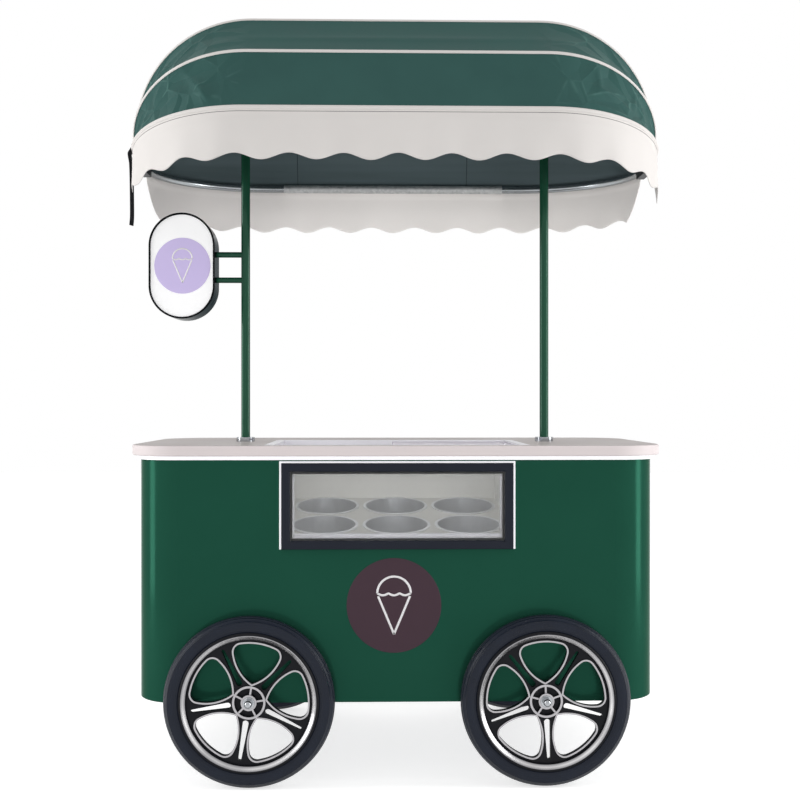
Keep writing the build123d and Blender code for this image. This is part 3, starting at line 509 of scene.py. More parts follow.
def cast_wheel(name, lacquer, milled, turned):
    """Cast aluminium wheel: black lacquer in the hollows; rim, raised lips and hub ring machined bright.

    The rim has a painted highlight: brightest along its middle line, stronger or weaker in a slow change
    round the wheel.
    """
    made, tree, shader = start(name, lacquer, Specular_IOR_Level=0.12)
    where, radius, out = wheel_centred(tree)
    rim = add(tree, "ShaderNodeMath", {0: radius, 1: RIM_MIDDLE, 2: RIM_HALF}, operation="COMPARE").outputs[0]
    lip = add(tree, "ShaderNodeMath", {0: out, 1: LIP_OUT}, operation="GREATER_THAN")
    spider = add(tree, "ShaderNodeMath", {0: radius, 1: SPIDER_R}, operation="LESS_THAN")
    raised = add(tree, "ShaderNodeMath", {0: lip.outputs[0], 1: spider.outputs[0]}, operation="MULTIPLY")
    bright = add(tree, "ShaderNodeMath", {0: rim, 1: raised.outputs[0]}, operation="MAXIMUM").outputs[0]
    milling = add(tree, "ShaderNodeTexNoise", {"Vector": where, "Scale": 1 / 0.02, "Detail": 4.0})
    lips = add(tree, "ShaderNodeMix", {0: milling.outputs[0], 6: linear(milled[0]), 7: linear(milled[1])},
               data_type="RGBA")
    # Painted highlight: the rim is lightest along its middle line, more or less so by a slow noise round the
    # wheel
    off = add(tree, "ShaderNodeMath", {0: radius, 1: RIM_MIDDLE}, operation="SUBTRACT")
    off = add(tree, "ShaderNodeMath", {0: off.outputs[0]}, operation="ABSOLUTE")
    painted_rim_highlight = add(tree, "ShaderNodeMapRange", {0: off.outputs[0], 1: 0.0, 2: RIM_HALF, 3: 1.0, 4: 0.0})
    slow = add(tree, "ShaderNodeTexNoise", {"Vector": where, "Scale": 1 / 0.12, "Detail": 1.0})
    share = add(tree, "ShaderNodeMapRange", {0: slow.outputs[0], 1: 0.35, 2: 0.65, 3: 0.5, 4: 1.0})
    painted_rim_light = add(tree, "ShaderNodeMath", {0: painted_rim_highlight.outputs[0], 1: share.outputs[0]}, operation="MULTIPLY")
    ring = add(tree, "ShaderNodeMix", {0: painted_rim_light.outputs[0], 6: linear(turned[0]), 7: linear(turned[1])},
               data_type="RGBA")
    silver = add(tree, "ShaderNodeMix", {0: rim, 6: lips.outputs[2], 7: ring.outputs[2]}, data_type="RGBA")
    tint = add(tree, "ShaderNodeMix", {0: bright, 6: linear(lacquer), 7: silver.outputs[2]}, data_type="RGBA")
    tree.links.new(tint.outputs[2], shader.inputs["Base Color"])
    tree.links.new(bright, shader.inputs["Metallic"])
    gloss = add(tree, "ShaderNodeMapRange", {0: bright, 3: 0.42, 4: 0.24})
    tree.links.new(gloss.outputs[0], shader.inputs["Roughness"])
    return made


def tyre_rubber(name, colours):
    """Moulded rubber: dull, with rings 4.5 mm apart and a rib on its side, and grooves round its tread."""
    made, tree, shader = start(name, colours[0], Specular_IOR_Level=0.2)
    where, radius, out = wheel_centred(tree)
    vary(tree, shader, where, colours, (0.26, 0.4), 0.06)
    ring = add(tree, "ShaderNodeMath", {0: radius, 1: 2 * math.pi / 0.0045}, operation="MULTIPLY")
    wave = add(tree, "ShaderNodeMath", {0: ring.outputs[0]}, operation="SINE")
    fine = add(tree, "ShaderNodeMath", {0: wave.outputs[0], 1: 0.0002}, operation="MULTIPLY")
    off = add(tree, "ShaderNodeMath", {0: radius, 1: RIB_R}, operation="SUBTRACT")
    off = add(tree, "ShaderNodeMath", {0: off.outputs[0]}, operation="ABSOLUTE")
    rib = add(tree, "ShaderNodeMapRange", {0: off.outputs[0], 1: 0.0008, 2: 0.0035, 3: 0.0016, 4: 0.0})
    side = add(tree, "ShaderNodeMath", {0: fine.outputs[0], 1: rib.outputs[0]})
    groove = add(tree, "ShaderNodeMath", {0: out, 1: 2 * math.pi / 0.0085}, operation="MULTIPLY")
    groove = add(tree, "ShaderNodeMath", {0: groove.outputs[0]}, operation="COSINE")
    tread = add(tree, "ShaderNodeMapRange", {0: radius, 1: TREAD_START, 2: TREAD_FULL, 3: 0.0, 4: 0.0011})
    height = add(tree, "ShaderNodeMath", {0: groove.outputs[0], 1: tread.outputs[0], 2: side.outputs[0]},
                 operation="MULTIPLY_ADD")
    emboss(tree, shader, height.outputs[0], 1.0)
    return made


# Powder coat baked on sheet steel: deep and even, with a green lustre on the round corners
GREEN = paint("gloss_green_powder_coat", ("#1C493A", "#204F3F"), rough=(0.14, 0.2), peel=0.007, depth=0.00003,
              Metallic=0.22, Specular_IOR_Level=0.02, Specular_Tint=linear("#8FC0AC"))
# The same coat on thin tube: tighter, paler lines of gloss
GREEN_TUBE = paint("gloss_green_coat_on_tube", ("#194632", "#1E4E3B"), rough=(0.06, 0.1), peel=0.007,
                   depth=0.00002, Metallic=0.12, Specular_IOR_Level=0.32, Specular_Tint=linear("#CFE2D9"))
# Cast acrylic stone: rosy white on its edge, and a little greyer on top, which is painted shade
SLAB = slab_with_shaded_top("acrylic_stone_with_painted_shade_on_top", edge=("#E0D6D6", "#DAD1D1"), top=("#BCB4B2", "#C6BEBC"))
# Fired enamel on steel: a soft warm white
ENAMEL = paint("stove_enamel_white", ("#CDCDC8", "#C3C3BE"), rough=(0.4, 0.5), peel=0.006, depth=0.00003,
               Specular_IOR_Level=0.15)
# Foamed panel with a rough white skin: dry, with no gloss
FOAM = paint("foam_panel_white", ("#CFCDC8", "#C3C1BC"), rough=(0.6, 0.75), peel=0.003, depth=0.0002)
# Sprayed lacquer: blue-black with a weak, broad gloss
FRAME_BLACK = paint("satin_black_lacquer", ("#24272F", "#2A2D36"), rough=(0.38, 0.48), peel=0.002,
                    depth=0.00003, Specular_IOR_Level=0.05)
# Paint laid on by brush: black, uneven and dull
CHASSIS = paint("brushed_on_black_paint", ("#15161A", "#1E1F23"), rough=(0.45, 0.6), peel=0.004, depth=0.0001)
# Moulded nylon: black, with the fine grain of its mould
MOULDED = paint("moulded_black_nylon", ("#16171A", "#1D1E21"), rough=(0.45, 0.55), peel=0.0015, depth=0.00005)
# Plated chrome: a hard, slightly dark mirror
CHROME = metal("chrome_plate", ("#A2A5A9", "#B4B7BA"), (0.05, 0.12), 0.08)
# Rolled and polished sheet: painted reflections, broken light and dark, between two lips painted dark as
# mirrored shade
BAND = band_steel("polished_steel_band_with_painted_reflections", dark="#0E1213", bright="#AEB3B5", lip="#17191B")
# Steel from the lathe: grey, with rings of the tool
TURNED = metal("turned_steel", ("#8F9093", "#A3A4A6"), (0.25, 0.38), 0.002, (0.1, 1, 1), 0.00003)
# Cold-headed screws: grey, half bright
SCREW_STEEL = metal("rolled_stainless_screw", ("#8B8D90", "#A7A9AC"), (0.22, 0.35), 0.002)
# Spun tubs: pale steel with soft rings round the wall
SPUN = metal("spun_stainless_steel", ("#E0E4E8", "#EAECEF"), (0.34, 0.46), 0.004, (1, 1, 8), 0.00002)
# Rolled spacer between panes: even dull silver
SPACER_BAR = metal("rolled_aluminium_spacer", ("#BABCC1", "#C6C8CC"), (0.4, 0.5), 0.004, (0.1, 1, 1))
# Aluminium pressed through a die: satin, with long fine lines
EXTRUDED = metal("satin_aluminium_extrusion", ("#B6B7B9", "#C3C4C6"), (0.3, 0.4), 0.003, (0.05, 1, 1),
                 0.00002)
# Drawn copper pipe: warm, half bright, with darker patches
COPPER = metal("drawn_copper", ("#B8734F", "#A5613F"), (0.22, 0.35), 0.01)
# Dipped sheet: a mosaic of grey crystals
ZINC_SHEET = galvanised("galvanised_sheet", ("#9EA2A6", "#B9BCBF"), (0.3, 0.5), spangle=0.012)
# Hoops: a frosty sleeve that runs into shiny tube
HOOP_TUBE = hoop_tube("galvanised_sleeve_and_polished_ends", zinc=("#B5B8B9", "#D9DADA"), drawn="#A3A8AB",
                      spangle=0.008)
# Window glass: clear, with sharp reflections
GLASS = clear_glass("float_glass", "#FAFAFA", "#F0F0F0")
# Lids of the same glass, with a painted reflection: lilac grey when looked along
LID_GLASS = clear_glass("float_glass_with_painted_grazing_reflection", "#FAFAFA", "#F0F0F0", painted_grazing_reflection="#DCD5E1")
# Strips with lamps inside: the brightest white on the cart
LIGHT = lit_acrylic("lit_opal_acrylic_strip", "#F1F1F6", glow=0.24)
# Sign faces: a softer glow, which is painted light
SIGN_FACE = lit_acrylic("opal_acrylic_sign_face_with_painted_glow", "#F6F6F7", glow=0.12)
# Sand-cast wheel: matt black hollows against silver lines, with a painted highlight along the rim
WHEEL = cast_wheel("cast_aluminium_machined_and_lacquered", lacquer="#17181C", milled=("#A3A1A4", "#B9B7BA"),
                   turned=("#7B7A7E", "#E6E5E5"))
# Moulded tyre: blue-black and dull
TYRE = tyre_rubber("moulded_tyre_rubber", ("#141924", "#1D2330"))
# Awning cloth: blue-green, dry, with a bloom, and painted highlights in patches on the folds at the ends
GREEN_CLOTH = cloth("woven_green_awning_cloth", ("#345451", "#3C605B"), rough=(0.42, 0.52), thread=0.0035,
                    depth=0.0002, crumple=(0.4, 0.62, 0.11, 0.034, "#51756F"), Sheen_Weight=0.03,
                    Sheen_Roughness=0.4, Sheen_Tint=linear("#9CCAC2"), Specular_IOR_Level=0.04)
# Its coated back: slate, in long streaks, with two seams across
CLOTH_BACK = cloth("coated_back_of_awning_cloth", ("#354244", "#5C686C"), rough=(0.5, 0.62), thread=0.0035,
                   depth=0.0001, drift=(0.12, 2.6, 1), seam=(0, -0.0385, 0.2985, 0.0014, "#2F383A"),
                   Specular_IOR_Level=0.06)
# White awning cloth: warm, matt and slightly uneven
WHITE_CLOTH = cloth("woven_white_awning_cloth", ("#E2DEDB", "#DCD8D5"), rough=(0.6, 0.72), thread=0.0035,
                    depth=0.0001, Specular_IOR_Level=0.1)
# The same cloth with the row of stitches below the front tape, drawn as a dark line: partly the thread,
# partly painted shade in the seam's groove
SEAMED_CLOTH = cloth("woven_white_awning_cloth_with_top_seam_and_painted_shade", ("#E2DEDB", "#DCD8D5"), rough=(0.6, 0.72),
                     thread=0.0035, depth=0.0001, seam=(1, 0.0, 0.0115, 0.0008, "#74706F"),
                     Specular_IOR_Level=0.1)
# Polyester webbing: black with a coarse weave
WEBBING = cloth("woven_black_webbing", ("#1A1B1D", "#222325"), rough=(0.6, 0.75), thread=0.004, depth=0.0004,
                Specular_IOR_Level=0.08)
# Cut vinyl film: flat colour with a soft gloss
MAROON_VINYL = paint("cut_vinyl_maroon", ("#3F2E37", "#46343D"), rough=(0.3, 0.4), peel=0.003, depth=0.00002,
                     Specular_IOR_Level=0.15)
LILAC_VINYL = paint("cut_vinyl_lilac", ("#CEC0EC", "#D2C5EE"), rough=(0.3, 0.4), peel=0.003, depth=0.00002,
                    Specular_IOR_Level=0.15)
WHITE_VINYL = paint("cut_vinyl_white", ("#ECEAEC", "#E4E2E4"), rough=(0.3, 0.4), peel=0.003, depth=0.00002)
# Extruded plastics: cool white, smooth and half glossy
TRACK_WHITE = paint("extruded_white_abs", ("#EAE8EE", "#F0EEF4"), rough=(0.25, 0.35), peel=0.004,
                    depth=0.00002, Specular_IOR_Level=0.2)
WALL_TRIM = paint("extruded_white_pvc", ("#C9C9D1", "#D2D2D9"), rough=(0.3, 0.4), peel=0.004, depth=0.00002,
                  Specular_IOR_Level=0.2)

WHEEL_PLACES = ("front_left", "front_right", "rear_left", "rear_right")
HOOPS = ("ridge_hoop", "front_hoop", "rear_hoop", "rib_hoops")
NODE_FINISHES = {
    GREEN: ["body_shell", "left_door", "right_door", "side_vent"],
    GREEN_TUBE: ["left_post", "right_post"],
    SLAB: ["counter_top"],
    LIGHT: ["light_strips"],
    FRAME_BLACK: ["window_frame"],
    GLASS: ["window_panes"],
    LID_GLASS: ["left_lid", "right_lid"],
    SPACER_BAR: ["window_spacer"],
    TRACK_WHITE: ["lid_track"],
    EXTRUDED: ["condenser", "fan_blade"],
    FOAM: ["freezer_cabinet"],
    ENAMEL: ["freezer_liner", "tub_plate"],
    SPUN: [f"tub_{number}" for number in range(1, 7)],
    ZINC_SHEET: ["floor_panel", "partitions", "fan_shroud"],
    HOOP_TUBE: HOOPS,
    CHASSIS: ["chassis_frame", "axle_blocks", "compressor"],
    TURNED: ["left_axle", "right_axle", "wheel_bearings", "door_hinges"],
    CHROME: ["axle_nuts", "post_collars", "left_door_handle", "right_door_handle"],
    BAND: ["sign_band"],
    SIGN_FACE: ["sign_faces"],
    COPPER: ["refrigerant_pipes"],
    MOULDED: ["canopy_hubs", "power_inlet"],
    WHEEL: [f"{place}_wheel" for place in WHEEL_PLACES],
    TYRE: [f"{place}_tyre" for place in WHEEL_PLACES],
}
for finish, names in NODE_FINISHES.items():
    for name in names:
        nodes[name].data.materials.clear()
        nodes[name].data.materials.append(finish)


# Canopy


def hoop_line(run, grow):
    """Place on a hoop's line moved outwards, at a signed run from its middle: bar, quarter bend, leg.

    Gives x along the cart, r out from the hubs' axis, and the line's outward normal in those two directions.
    """
    bend = HOOP_BEND + grow
    way = np.abs(run)
    turn = np.clip((way - HOOP_BAR) / bend, 0, math.pi / 2)
    leg = np.maximum(way - HOOP_BAR - bend * math.pi / 2, 0)
    x = np.sign(run) * (np.minimum(way, HOOP_BAR) + bend * np.sin(turn))
    r = HOOP_R - HOOP_BEND + bend * np.cos(turn) - leg
    return x, r, np.sign(run) * np.sin(turn), np.cos(turn)


def bend_turn(reach):
    """How far a hoop's line has turned on its bend where the cloth is a given way out from the hubs' axis."""
    return math.acos((reach - HOOP_R + HOOP_BEND) / (HOOP_BEND + CLOTH_OUT))


def run_at(reach):
    """The run along a hoop at which the cloth is a given way out from the hubs' axis, on its bend."""
    return HOOP_BAR + (HOOP_BEND + CLOTH_OUT) * bend_turn(reach)


def swing(x, r, angle):
    """A point at r out from the hubs' axis, turned up from the front by an angle."""
    return np.stack(np.broadcast_arrays(x, -r * np.cos(angle), HUB_Z + r * np.sin(angle)), -1)


def canopy_sheet():
    """The cover as one sheet: straight from hoop to hoop, drawn in between them, with creases at its ends.

    Across each panel the cloth follows the chord between two hoops, less sag * 4f(1 - f). The sag is deeper
    on the bends. A crease is a raised line that falls off as exp(-|q| / width) to both sides and fades along
    its length.
    """
    run = np.linspace(-HALF_RUN, HALF_RUN, 361)[:, None]
    panels = len(HOOP_ANGLES) - 1
    across = np.linspace(0, panels, panels * PANEL_STEPS + 1)[None]
    first = np.minimum(across.astype(int), panels - 1)
    f = across - first
    x, r, nx, nr = hoop_line(run, CLOTH_OUT)
    low, high = HOOP_ANGLES[first], HOOP_ANGLES[first + 1]
    chord = swing(x, r, low) * (1 - f)[..., None] + swing(x, r, high) * f[..., None]
    middle = (low + high) / 2
    out = np.stack(np.broadcast_arrays(nx, -nr * np.cos(middle), nr * np.sin(middle)), -1)
    on_bend = np.clip((np.abs(run) - HOOP_BAR) / SAG_GROWS_OVER, 0, 1) * np.clip(r / SAG_FADES_BELOW, 0, 1)
    lift = -(BAR_SAG + BEND_SAG * on_bend) * 4 * f * (1 - f)
    for place, panel, degrees, half, width, depth in CREASES:
        turn = math.radians(degrees)
        aside, upward = run - place, PANEL_WIDTH * (across - panel)
        along = aside * math.cos(turn) + upward * math.sin(turn)
        beside = upward * math.cos(turn) - aside * math.sin(turn)
        fade = np.exp(-(along / half) ** 2)
        lift = lift + depth * fade * np.exp(-np.abs(beside) / width) * np.clip(8 * f * (1 - f), 0, 1)
    girth = np.concatenate([[0], np.cumsum(2 * HOOP_R * np.sin(np.diff(HOOP_ANGLES) / 2))])
    uv = np.stack(np.broadcast_arrays(run, girth[first] + f * (girth[first + 1] - girth[first])), -1)
    return thicken(sheet_mesh("canopy_sheet", chord + lift[..., None] * out, uv), CLOTH_T)


def piping(number, angle):
    """White tape over one hoop: a flat oval profile carried along the cloth's crest, its edges bent down."""
    run = np.linspace(-HALF_RUN, HALF_RUN, 161)
    x, r, nx, nr = hoop_line(run, CLOTH_OUT + TAPE_OUT)
    turn = np.linspace(0, 2 * math.pi, 16, endpoint=False)
    a = TAPE_HALF * np.cos(turn)
    profile = np.stack([a, TAPE_RISE * np.sin(turn) - TAPE_EDGE_FALL * np.abs(a)], -1)
    up = np.stack([nx, -nr * math.cos(angle), nr * math.sin(angle)], -1)
    side = np.repeat(np.array([[0, math.sin(angle), math.cos(angle)]]), len(run), 0)
    return carry(f"piping_{number}", swing(x, r, angle), side, up, profile)


def valance(name, angle, full_drop, left, right, crest, phase):
    """Hanging scalloped cloth: from a hoop straight down to a hem that waves as a cosine of the run.

    left and right are the runs at the top and the hem of each end; crest is 1 for a high wave in the middle
    and -1 for a low one. Two slow waves push the cloth in and out, more towards the hem, and a bell curve
    draws it in along the seam.
    """
    share = np.linspace(0, 1, 401)[:, None]
    down = np.linspace(0, 1, 25)[None]
    first, last = (end[0] + (end[1] - end[0]) * down for end in (left, right))
    run = first + share * (last - first)
    x, r, nx, nr = hoop_line(run, CLOTH_OUT - VALANCE_IN)
    drop = full_drop - crest * SCALLOP_RISE * np.cos(2 * math.pi * run / SCALLOP_PITCH)
    fold = (SLOW_WAVE * np.sin(2 * math.pi * run / SLOW_PITCH + phase)
            + QUICK_WAVE * np.sin(2 * math.pi * run / QUICK_PITCH + 2 * phase))
    push = fold * down ** 1.5 - SEAM_DIP * np.exp(-((down * drop - SEAM_DOWN) / SEAM_HALF) ** 2)
    points = swing(x, r, angle)
    points += push[..., None] * np.stack([nx, -nr * math.cos(angle), 0 * nx], -1)
    points[..., 2] -= drop * down
    uv = np.stack([run, drop * down], -1)
    return thicken(sheet_mesh(name, points, uv, flip=True), CLOTH_T)


cover = dress(canopy_sheet(), "cart", "canopy_cloth", GREEN_CLOTH, "canopy_cover")
cover.data.materials.append(CLOTH_BACK)
cover.modifiers["thickness"].material_offset = 1
tapes = [dress(piping(number, angle), "cart", "valance_cloth", WHITE_CLOTH)
         for number, angle in enumerate(HOOP_ANGLES, 1)]
left_end = run_at(FRONT_LEFT_END / math.cos(HOOP_ANGLES[0]))
front_sheet = valance("front_valance_sheet", HOOP_ANGLES[0], FRONT_DROP, (-left_end, -left_end),
                      (HALF_RUN, FRONT_RIGHT_SCALLOPS * SCALLOP_PITCH), crest=1, phase=0.6)
front_hem = dress(front_sheet, "cart", "valance_cloth", SEAMED_CLOTH, "front_valance")
rear_ends = np.array([run_at(REAR_END_TOP), run_at(REAR_END_HEM)])
rear_sheet = valance("rear_valance_sheet", HOOP_ANGLES[-1], REAR_DROP, -rear_ends, rear_ends,
                     crest=-1, phase=2.1)
rear_hem = dress(rear_sheet, "cart", "valance_cloth", WHITE_CLOTH, "rear_valance")


# Strap


def strap():
    """Webbing sewn to the cover's lower edge and hanging free: a flat rounded section carried down a line.

    At the top it lies flat on the cloth's bend, and it twists below. The line runs straight between its knots
    and is then smoothed by a running mean, weighted as a raised cosine.
    """
    face = bend_turn(STRAP_REACH)
    x = -HOOP_BAR - (HOOP_BEND + CLOTH_OUT) * math.sin(face) - STRAP_OFF
    y = -STRAP_REACH * math.cos(HOOP_ANGLES[0])
    z = HUB_Z + STRAP_REACH * math.sin(HOOP_ANGLES[0])
    way = np.linspace(0, len(STRAP_KNOTS) - 1, 90)
    lines = (np.interp(way, np.arange(len(STRAP_KNOTS)), STRAP_KNOTS[:, k]) for k in (0, 1))
    soft = np.hanning(15) / np.hanning(15).sum()
    offsets, heights = (np.convolve(np.pad(line, 7, mode="reflect", reflect_type="odd"), soft, mode="valid")
                        for line in lines)
    path = np.stack([x + offsets, y + 0 * offsets, z + heights], -1)
    turn = math.pi / 2 - face - STRAP_TWIST * np.clip((way - 0.6) / 1.8, 0, 1)
    side = np.stack([-np.sin(turn), np.cos(turn), 0 * turn], -1)
    along = np.gradient(path, axis=0)
    up = np.cross(along, side)
    up /= np.linalg.norm(up, axis=1)[:, None]
    corner = np.linspace(0, 2 * math.pi, 24, endpoint=False)
    profile = np.stack([STRAP_HALF * np.sign(np.cos(corner)) * np.abs(np.cos(corner)) ** 0.3,
                        STRAP_HALF_T * np.sign(np.sin(corner)) * np.abs(np.sin(corner)) ** 0.6], -1)
    return carry("strap_webbing", path, side, up, profile)


webbing = dress(strap(), "cart", "webbing", WEBBING, "tie_strap")


# Roundels on the front and on both sides of the sign


def roundel(name, centre, radius, facing):
    """A disc of cut vinyl: rings from its middle to an edge that is rounded down to the sheet behind it."""
    turn = np.linspace(0, 2 * math.pi, 96, endpoint=False)[None]
    reach = np.array([0, 0.4, 0.8, 0.985, 0.995, 1.0, 1.0, 0])[:, None] * radius
    rise = np.array([1, 1, 1, 1, 0.85, 0.5, 0, 0])[:, None] * VINYL_T
    x, y, z = centre
    points = np.stack([x + reach * np.cos(turn), y + facing * rise + 0 * turn, z + reach * np.sin(turn)], -1)
    return sheet_mesh(name, points, loop=True, weld=True)


def strip(name, line, width, facing):
    """A flat cut strip of vinyl along a line in an upright plane: the line moved to both sides, thickened."""
    along = np.gradient(line, axis=0)
    across = np.stack([-along[:, 2], 0 * along[:, 0], along[:, 0]], -1)
    across /= np.linalg.norm(across, axis=1)[:, None]
    points = np.stack([line - across * width / 2, line + across * width / 2], 1)
    return thicken(sheet_mesh(name, points, flip=facing > 0), LINE_T)


def cone_motif(name, centre, size, facing):
    """A plain cone with one round scoop, as lines: a triangle, an arc over it and a ripple between them."""
    t = np.linspace(0, 1, 41)
    scoop = np.stack([np.cos(math.pi * t), 0 * t, 0.25 + np.sin(math.pi * t)], -1) * 0.42
    ripple = np.stack([0.84 * t - 0.42, 0 * t, 0.105 - 0.05 * np.abs(np.sin(3 * math.pi * t))], -1)
    left = np.stack([-0.40 + 0.40 * t, 0 * t, 0.03 - 0.95 * t], -1)
    right = left * np.array([-1, 1, 1])
    shift = np.array(centre) + np.array([0, facing * LINE_OUT, MOTIF_RAISE * size])
    lines = {"scoop": scoop, "ripple": ripple, "left": left, "right": right}
    return [strip(f"{name}_{part}", line * size + shift, LINE_SHARE * size, facing)
            for part, line in lines.items()]


dress(roundel("front_roundel", FRONT_ROUNDEL, FRONT_ROUNDEL_R, -1), "cart", "green_paint", MAROON_VINYL)
for piece in cone_motif("front_cone", FRONT_ROUNDEL, MOTIF_SHARE * FRONT_ROUNDEL_R, -1):
    dress(piece, "cart", "white_slab", WHITE_VINYL)
for side, facing in (("front", -1), ("back", 1)):
    centre = (SIGN_ROUNDEL[0], facing * SIGN_ROUNDEL[1], SIGN_ROUNDEL[2])
    disc = roundel(f"sign_roundel_{side}", centre, SIGN_ROUNDEL_R, facing)
    dress(disc, "cart", "sign_acrylic", LILAC_VINYL)
    for piece in cone_motif(f"sign_cone_{side}", centre, MOTIF_SHARE * SIGN_ROUNDEL_R, facing):
        dress(piece, "cart", "sign_acrylic", WHITE_VINYL)


# Trim behind the window


def wall_trim(low, high):
    """A frame inside an upright opening: a bar's profile, its free edge broken, carried round four corners.

    A profile point lies a share of the bar's height in from the opening's edge, and at a depth behind the
    glass. The bar is highest below, lower at the sides and lowest above.
    """
    broken = TRIM_FRONT + TRIM_EDGE
    profile = np.array([(0, TRIM_FRONT), (0.9, TRIM_FRONT), (1, broken), (1, TRIM_REAR), (0, TRIM_REAR),
                        (0, TRIM_FRONT)])
    share, depth = profile[:, :1], profile[:, 1:]
    across, up = np.array([-1, 1, 1, -1]), np.array([-1, -1, 1, 1])
    half, middle = (high - low) / 2, (high + low) / 2
    x = middle[0] + across * (half[0] - share * TRIM_SIDE)
    z = middle[2] + up * (half[2] - share * np.where(up < 0, TRIM_BELOW, TRIM_ABOVE))
    piece = sheet_mesh("wall_trim", np.stack([x, depth + 0 * x, z], -1), loop=True, weld=True)
    piece.data.shade_flat()
    return piece


pane_low, pane_high = (np.array(corner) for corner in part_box("window_panes"))
dress(wall_trim(pane_low + TRIM_GAP, pane_high - TRIM_GAP), "cart", "freezer_white", WALL_TRIM)


# Screws


def screw_heads(name, places, out, radius):
    """Button heads on one face: a dome over each place, with a cross pressed into its middle.

    The dome's height falls with the distance r from its middle as 1 - 0.7 r * r, down to a straight rim, and
    the cross is deepest where cos(2 turn) is 1 or -1.
    """
    turn = np.linspace(0, 2 * math.pi, 32, endpoint=False)[None]
    share = np.array([0, 0.2, 0.35, 0.5, 0.6, 0.75, 0.9, 1, 1, 0])[:, None]
    open_face = np.array([1, 1, 1, 1, 1, 1, 1, 1, 0, 0])[:, None]
    pressed = np.array([1, 1, 1, 0.8, 0, 0, 0, 0, 0, 0])[:, None] * np.cos(2 * turn) ** 16
    rise = radius * (0.5 * (1 - 0.7 * share ** 2) * open_face - 0.3 * pressed)
    upward = np.array([0.0, 0.0, 1.0])
    aside = np.cross(upward, out)
    reach = radius * share
    dome = ((reach * np.cos(turn))[..., None] * aside + (reach * np.sin(turn))[..., None] * upward
            + rise[..., None] * np.array(out))
    return sheet_mesh(name, np.array(places)[:, None, None] + dome, loop=True, weld=True)


vent_low, vent_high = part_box("side_vent")
hinge_low, hinge_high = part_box("door_hinges")
inlet_low, inlet_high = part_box("power_inlet")
VENT_SCREWS = [(vent_high[0], y, z) for y in (vent_low[1] + VENT_EDGE, vent_high[1] - VENT_EDGE)
               for z in (vent_low[2] + VENT_EDGE, (vent_low[2] + vent_high[2]) / 2, vent_high[2] - VENT_EDGE)]
HINGE_SCREWS = [(side * (hinge_high[0] - HINGE_EDGE), BODY_REAR + HINGE_LEAF_T, hinge_low[2] + foot + rise)
                for side in (-1, 1) for foot in HINGE_FEET for rise in HINGE_RISES]
INLET_SCREWS = [(x, inlet_high[1], (inlet_low[2] + inlet_high[2]) / 2)
                for x in (inlet_low[0] + INLET_EDGE, inlet_high[0] - INLET_EDGE)]
for name, places, out, radius in (("vent_screws", VENT_SCREWS, (1, 0, 0), VENT_SCREW_R),
                                  ("hinge_screws", HINGE_SCREWS, (0, 1, 0), HINGE_SCREW_R),
                                  ("inlet_screws", INLET_SCREWS, (0, 1, 0), INLET_SCREW_R)):
    dress(screw_heads(name, places, out, radius), "cart", "bright_chrome", SCREW_STEEL)


# Stage, light and camera


def shows(tree):
    """1 for a ray from the camera, off a mirror or through glass, which finds white, and 0 for others."""
    path = add(tree, "ShaderNodeLightPath").outputs
    seen = add(tree, "ShaderNodeMath", {0: path["Is Camera Ray"], 1: path["Is Glossy Ray"]})
    seen = add(tree, "ShaderNodeMath", {0: seen.outputs[0], 1: path["Is Transmission Ray"]}, use_clamp=True)
    return seen.outputs[0]


def studio_floor():
    """A pale floor that keeps the shadow: seen directly it is lifted to the white of the background."""
    edge = np.array([-FLOOR_HALF, FLOOR_HALF])
    x, y = np.meshgrid(edge, edge, indexing="ij")
    floor = sheet_mesh("studio_floor", np.stack([x, y, 0 * x], -1))
    made, tree, shader = start("pale_studio_floor", "#DEDEDE", Roughness=0.9)
    lifted = add(tree, "ShaderNodeMath", {0: shows(tree), 1: FLOOR_LIFT}, operation="MULTIPLY")
    glow = add(tree, "ShaderNodeEmission", {"Color": linear("#FFFFFF"), "Strength": lifted.outputs[0]})
    both = add(tree, "ShaderNodeAddShader", {0: shader.outputs[0], 1: glow.outputs[0]})
    tree.links.new(both.outputs[0], tree.nodes["Material Output"].inputs[0])
    floor.data.materials.append(made)


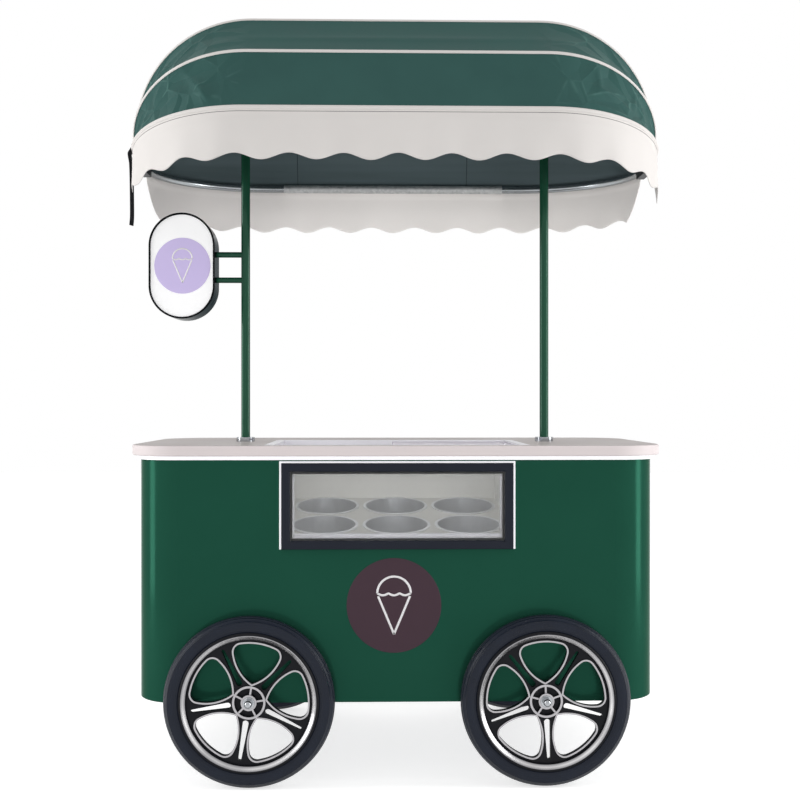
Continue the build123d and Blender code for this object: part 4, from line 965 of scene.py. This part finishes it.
def studio_world():
    """White where it is seen directly, in metal or through glass, and an even soft light elsewhere."""
    world = bpy.data.worlds.new("studio")
    bpy.context.scene.world = world
    world.use_nodes = True
    tree = world.node_tree
    strength = add(tree, "ShaderNodeMapRange", {0: shows(tree), 3: SKY_LEVEL, 4: 1.0})
    sky = tree.nodes["Background"]
    sky.inputs["Color"].default_value = linear("#FFFFFF")
    tree.links.new(strength.outputs[0], sky.inputs["Strength"])


def softbox(name, place, target, size, watts, spread=180, seen=True):
    """A large soft lamp turned towards a point, with a grid in front of it where its spread is narrow.

    A lamp that isn't seen lights the cart, and shows neither in the picture nor as a mirror image on it.
    """
    lamp = bpy.data.lights.new(name, "AREA")
    lamp.energy = watts
    lamp.spread = math.radians(spread)
    lamp.shape = "RECTANGLE"
    lamp.size, lamp.size_y = size
    holder = bpy.data.objects.new(name, lamp)
    bpy.context.scene.collection.objects.link(holder)
    holder.location = place
    aim = np.array(target) - np.array(place)
    holder.rotation_euler = (math.atan2(math.hypot(aim[0], aim[1]), -aim[2]), 0, math.atan2(-aim[0], aim[1]))
    holder.visible_camera = seen
    holder.visible_glossy = seen
    return holder


studio_floor()
studio_world()
softbox("front_softbox", (0, -8, 1.4), (0, 0, 0.9), size=(4.0, 1.2), watts=13, spread=45, seen=False)
softbox("back_softbox", (0, 8, 1.4), (0, 0, 0.9), size=(4.0, 1.2), watts=13, spread=45, seen=False)
softbox("left_softbox", (-3.6, -0.6, 1.65), (-0.3, 0, 1.6), size=(0.9, 3.2), watts=58)
softbox("right_softbox", (3.6, -0.8, 1.65), (0.3, 0, 1.6), size=(0.9, 3.2), watts=68)
hood_fill = softbox("hood_fill", (0, -0.58, 1.25), (0, -0.05, 2.07), size=(1.9, 0.3), watts=6.5, seen=False)
# The fill is flagged off the rest of the cart, so that only the inside of the hood gets it
hood = bpy.data.collections.new("hood")
for piece in (cover, rear_hem, *(nodes[name] for name in HOOPS)):
    hood.objects.link(piece)
hood_fill.light_linking.receiver_collection = hood

camera = bpy.data.objects.new("camera", bpy.data.cameras.new("camera"))
bpy.context.scene.collection.objects.link(camera)
camera.location = CAMERA
camera.rotation_euler = (math.pi / 2, 0, math.radians(CAMERA_YAW))
camera.data.lens = LENS_MM
camera.data.sensor_width = SENSOR_MM
camera.data.shift_y = CAMERA_SHIFT
bpy.context.scene.camera = camera
bpy.context.scene.view_settings.view_transform = "Standard"
